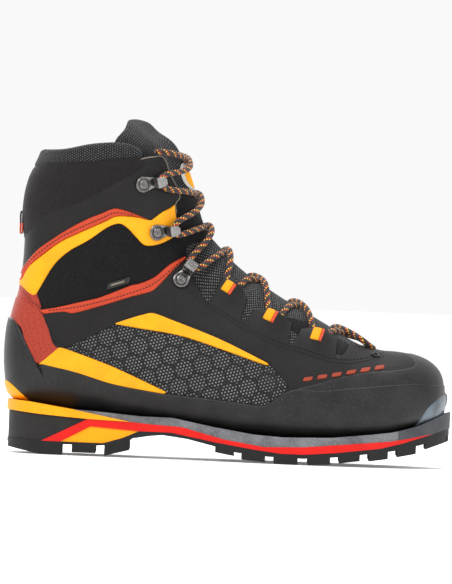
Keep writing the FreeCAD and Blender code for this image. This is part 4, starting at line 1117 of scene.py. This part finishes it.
def lathe(centre, across, along, out, profile, around=32):
    """Rings of points round an outward axis, from (radius, height) pairs."""
    points = []
    for r, h in profile:
        for k in range(around):
            turn_k = k * 2 * math.pi / around
            points.append(centre + across * (math.cos(turn_k) * r) + along * (math.sin(turn_k) * r) + out * h)
    return points, ring_faces(len(profile), around, caps=False)


def plate(at, across, along, out, length):
    """A teardrop plate from the rivet to the hook, with softened edges."""
    outline_2d = [(math.cos(t) * 5.4, math.sin(t) * 5.4)
        for t in np.linspace(math.radians(80), math.radians(280), 22)]
    outline_2d += [(length + math.cos(t) * 3.6, math.sin(t) * 3.6)
        for t in np.linspace(math.radians(-80), math.radians(80), 14)]
    outline_2d = np.array(outline_2d)
    middle = outline_2d.mean(0)
    points = []
    for inset, h in ((0.25, 0.0), (0, 0.25), (0, 0.75), (0.3, 1.0)):
        for x, y in outline_2d + (middle - outline_2d) / norm(middle - outline_2d, axis=1)[:, None] * inset:
            points.append(at + across * x + along * y + out * h)
    return points, ring_faces(4, len(outline_2d))


def band_of_metal(line, widths, thick, at, across, along, out):
    """A bent strip with rounded edges: line in the plane of across and out, widths along."""
    tangent = np.gradient(line, axis=0)
    tangent /= norm(tangent, axis=1, keepdims=True)
    normal = np.stack([-tangent[:, 1], tangent[:, 0]], 1)
    points = []
    for (x, h), (nx, nh), w in zip(line, normal, widths):
        for y, t in ((-1, -0.2), (-0.93, -0.5), (0, -0.5), (0.93, -0.5), (1, -0.2), (1, 0.2), (0.93, 0.5),
                (0, 0.5), (-0.93, 0.5), (-1, 0.2)):
            points.append(at + across * (x + nx * t * thick) + out * (h + nh * t * thick) + along
                * (y * w / 2))
    return points, ring_faces(len(line), 10)


def joined(*parts):
    points, faces = [], []
    for some, links in parts:
        faces += [[i + len(points) for i in f] for f in links]
        points += list(some)
    return np.array(points), faces


for side, name in SIDES:
    for title in HARDWARE:
        foot, across, along_hook, out, at = hook_place(title, side)
        body = "foot" if title == "ankle_lock" else "shaft"
        base = at + out * 0.35
        reach = (foot - at) @ across
        top = HOOK_WIRE * 1.5 + HOOK_OPEN
        wide = 8.6 if title == "ankle_lock" else 7.4
        line = rounded([(5.4, 0.65), (-0.65, 0.65), (-0.65, top), (3.6, top), (5.2, top + 0.7)], 2.6, 8)
        far = np.linspace(0, 1, len(line))
        widths = np.interp(far, [0, 0.25, 0.6, 0.9, 1.0], [0.8, 1.0, 1.0, 0.82, 0.5]) * wide
        if title == "ankle_lock":
            widths = np.interp(far, [0, 0.2, 0.95, 1.0], [0.85, 1.0, 1.0, 0.85]) * wide
        parts = [plate(base, across, along_hook, out, max(3.0, reach - 1.0)), band_of_metal(line, widths,
            1.25, foot, across, along_hook, out)]
        if title == "ankle_lock":
            for rib in (0.6, 2.2, 3.8):
                ridge_line = np.array([(rib - 0.55, top + 0.55), (rib, top + 0.95), (rib + 0.55, top + 0.55)])
                parts.append(band_of_metal(ridge_line, [wide * 0.86] * 3, 0.4, foot, across, along_hook, out))
        points, faces = joined(*parts)
        hook = mesh_object("%s_%s" % (title, name), points, faces, None, MAT["steel"], weld=True)
        hook.modifiers.new("shade", "EDGE_SPLIT").split_angle = math.radians(50)
        settle(hook, body, ["%s_%s" % (title, name)])
        points, faces = joined(lathe(base + out * PLATE_T, across, along_hook, out, [(5.0, -0.1), (5.0, 0.3),
            (4.7, 0.5), (4.0, 0.5), (3.8, 0.2)]), lathe(base + out * PLATE_T, across, along_hook, out,
            [(3.7, 0.0), (3.7, 0.7), (3.4, 1.25), (2.7, 1.65), (1.8, 1.8), (1.2, 1.72), (0.7, 1.5),
            (0.0, 1.45)]))
        cap = mesh_object("%s_rivet_%s" % (title, name), points, faces, None, MAT["gunmetal"], weld=True)
        settle(cap, body)

# ---- webbing lace loops
TURNS = [((90, 80.5), None), (TABS[2], None), (TABS[1], None), (TABS[0], None),
    ((-27.5, 132.5), "ankle_lock"), ((-41.5, 156.2), "hook_low"), ((-50.2, 188.6), "hook_high")]
CROSSINGS = [(76, 89), (45, 108), (19, 124), (-5, 143), (-17, 160), (-26, 180), (-38, 203)]
TOE_BAR = (96.5, 79)
TURN_LIFT, HOLD_LIFT = 5.2, 5.6
LACE_UNDER, LACE_OVER, TURN_HALF = 1.3, 4.5, 4.0
LOOP_AT = [(-4, 116), (25, 98), (57, 86)]


def edge_direction(i):
    """The way up along the throat's edge at a turn."""
    a, b = np.array(TURNS[max(0, i - 1)][0], float), np.array(TURNS[min(len(TURNS) - 1, i + 1)][0], float)
    return (b - a) / norm(b - a)


def webbing_loop(number, side, name):
    """The short length of webbing that shows where a lace loop comes through its tab."""
    centre = np.array(LOOP_AT[number - 1], float)
    up_edge = edge_direction(4 - number)
    inwards = np.array([up_edge[1], -up_edge[0]])
    if inwards[1] < 0:
        inwards = -inwards

    def corners(low, high, back, front):
        places = [centre + up_edge * low + inwards * back, centre + up_edge * high + inwards * back, centre
            + up_edge * high + inwards * front, centre + up_edge * low + inwards * front]
        return [(p[0], p[1], 1) for p in places]

    crown = lambda p, d: 0.55 * np.clip(d / 2.4, 0, 1)
    panel("lace_loop_%d_%s" % (number, name), corners(-2.0, 3.9, -3.6, 3.6), "webbing", 2.1, under=0.9,
        edge=0.5, side=side, lift=tab_lift, shape=crown)
    panel("lace_loop_%d_edge_%s" % (number, name), corners(-3.9, -1.9, -3.7, 3.7), "webbing_red", 2.3,
        under=0.9, edge=0.5, side=side, lift=tab_lift, nodes=())


for side, name in SIDES:
    for number in (1, 2, 3):
        webbing_loop(number, side, name)


# ---- lace
def lace_route():
    """The lace's route from one tucked end, down one side and up the other."""
    first, second = strand(1, True), strand(-1, False)
    u = station_through(*TOE_BAR)
    middle = middle_y(u)
    ends = (first[-1][1] - middle, second[-1][1] - middle)
    bar = [on_crest(u, middle + end * share, LACE_UNDER) for end, share in ((ends[0], 0.6), (ends[0], 0.12),
        (ends[1], 0.12), (ends[1], 0.6))]
    return first + bar + second[::-1]


def strand(side, over):
    """One half of the lace, from its tucked end down to the toe."""
    points = [skin(-57, 207.5, side, 1.4)[0], skin(-50, 206.5, side, 3.6)[0]]
    for i in range(len(TURNS) - 1, -1, -1):
        cross_u = station_through(*CROSSINGS[i])
        turn_at, holder = TURNS[i]
        lift = HOLD_LIFT if holder else TURN_LIFT
        height = LACE_OVER if over else LACE_UNDER
        middle = middle_y(cross_u)
        last = points[-1]
        came_u = station_through(last[0], last[2])
        points.append(on_crest((came_u + cross_u) / 2, middle + (last[1] - middle) * 0.52, (height + 4.4) / 2
            + 0.3))
        points.append(on_crest(cross_u, middle, height))
        side = -side
        turn_u = station_through(*turn_at)
        y = skin(*turn_at, side)[0][1]
        points.append(on_crest((turn_u + cross_u) / 2, middle + (y - middle) * 0.52, (height + lift) / 2
            + 0.3))
        edge = edge_direction(i)
        if holder:
            foot, across, along_hook, out, _ = hook_place(holder, side)
            held = foot + across * (LACE_D / 2 + 0.7) + out * (HOOK_WIRE + LACE_D / 2 + 1.0)
            if along_hook[2] < 0:
                along_hook = -along_hook
            points.append(held + along_hook * (TURN_HALF + 0.8))
            points.append(held - along_hook * (TURN_HALF + 0.8))
        else:
            for way in (1, -1) if i else (1,):
                points.append(skin(turn_at[0] + way * edge[0] * TURN_HALF, turn_at[1] + way * edge[1]
                    * TURN_HALF, side, lift if not i else 1.5)[0])
        over = not over
    return points


def smooth_path(name, route, step):
    """Even points along the route's NURBS spline, in millimetres."""
    data = bpy.data.curves.new(name, "CURVE")
    data.dimensions = "3D"
    spline = data.splines.new("NURBS")
    spline.points.add(len(route) - 1)
    for point, place in zip(spline.points, route):
        point.co = (place[0] * MM, place[1] * MM, place[2] * MM, 1)
    spline.order_u = 3
    spline.use_endpoint_u = True
    spline.resolution_u = 24
    obj = bpy.data.objects.new(name, data)
    bpy.context.scene.collection.objects.link(obj)
    bpy.context.view_layer.update()
    mesh = bpy.data.meshes.new_from_object(obj)
    path = np.zeros(len(mesh.vertices) * 3, np.float32)
    mesh.vertices.foreach_get("co", path)
    path = path.reshape(-1, 3).astype(float) / MM
    bpy.data.objects.remove(obj)
    bpy.data.curves.remove(data)
    bpy.data.meshes.remove(mesh)
    far = lengths(path)
    even = np.linspace(0, far[-1], int(far[-1] / step))
    return np.stack([np.interp(even, far, path[:, k]) for k in range(3)], 1)


path = smooth_path("lace_route", lace_route(), 0.8)
points, faces, places = tube_mesh(path, LACE_D / 2, 20)
lace = mesh_object("lace", points, faces, None, MAT["lace"])
corner_uv(lace, places)
settle(lace, "flex", ["lace"])

# ---- tongue badge
def oval_badge(name, x, z, half_tall, half_wide, lift, dome, material, rings=9):
    """A low oval pad on the tongue's ridge."""
    u = station_through(x, z)
    at = on_crest(u, middle_y(u), 0)
    above = on_crest(u + 0.05, middle_y(u + 0.05), 0)
    per = norm(above - at) / 0.05
    points = []
    around = 48
    for i in range(rings + 1):
        share = i / rings
        level_i = lift + dome * math.sqrt(max(0.0, 1 - share**4)) - (0 if i < rings else 0.5)
        for k in range(around):
            a = k * 2 * math.pi / around
            v = u + math.sin(a) * share * half_tall / per
            aside = math.cos(a) * share * half_wide
            point = on_crest(v, middle_y(v) + aside, level_i)
            point[0] += float(set_back(aside, point[2]))
            points.append(point)
    points = np.array(points)
    faces = ring_faces(rings + 1, around, caps=False)
    obj = mesh_object(name, points, faces, points[:, [1, 2]], material, weld=True)
    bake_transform(obj)
    return obj


badge = oval_badge("tongue_label", -33.6, 191.5, 10.8, 9.4, 0.0, 0.7, MAT["white"])
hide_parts("tongue_label")
oval_badge("tongue_label_field", -33.6, 191.5, 9.6, 8.1, 0.35, 0.6, MAT["yellow"])


# ---- pull loop
def pull_loop():
    """A short flat loop of dark webbing standing up behind the heel, red where it is sewn on."""
    x, low, high, r = -145.6, 149.6, 164.6, 0.7
    line = [(x + 0.5, low - 1.2), (x - 0.6, low - 0.9), (x - r, low + 2)]
    line += [(x - r, low + 6), (x - r - 0.15, high - 4)]
    line += [(x + math.cos(t) * r, high - 2 + math.sin(t) * r * 1.2) for t in np.linspace(math.pi, 0, 9)]
    line += [(x + r, high - 4.5), (x + r, low + 6), (x + r, low + 2), (x + 0.9, low - 0.9)]
    line = np.array(line)
    tangent = np.gradient(line, axis=0)
    tangent /= norm(tangent, axis=1, keepdims=True)
    normal = np.stack([-tangent[:, 1], tangent[:, 0]], 1)
    section = [(-7.0, 0.25), (-6.6, 0.5), (-2.4, 0.5), (2.4, 0.5), (6.6, 0.5), (7.0, 0.25), (7.0, -0.25),
        (6.6, -0.5), (2.4, -0.5), (-2.4, -0.5), (-6.6, -0.5), (-7.0, -0.25)]
    points = []
    for (px, pz), (nx, nz) in zip(line, normal):
        for y, t in section:
            points.append((px + nx * t, y, pz + nz * t))
    n = len(section)
    faces = [f[::-1] for f in ring_faces(len(line), n)]
    sewn_on = low + 3
    kind = [int(min(a[1], b[1]) >= sewn_on) for a, b in zip(line, line[1:]) for _ in range(n)] + [1, 1]
    obj = mesh_object("pull_loop", points, faces, None, MAT["webbing_red"])
    obj.data.materials.append(MAT["webbing_dark"])
    obj.data.polygons.foreach_set("material_index", np.array(kind, np.int32))
    settle(obj, "pull_loop", ["pull_loop"])


pull_loop()
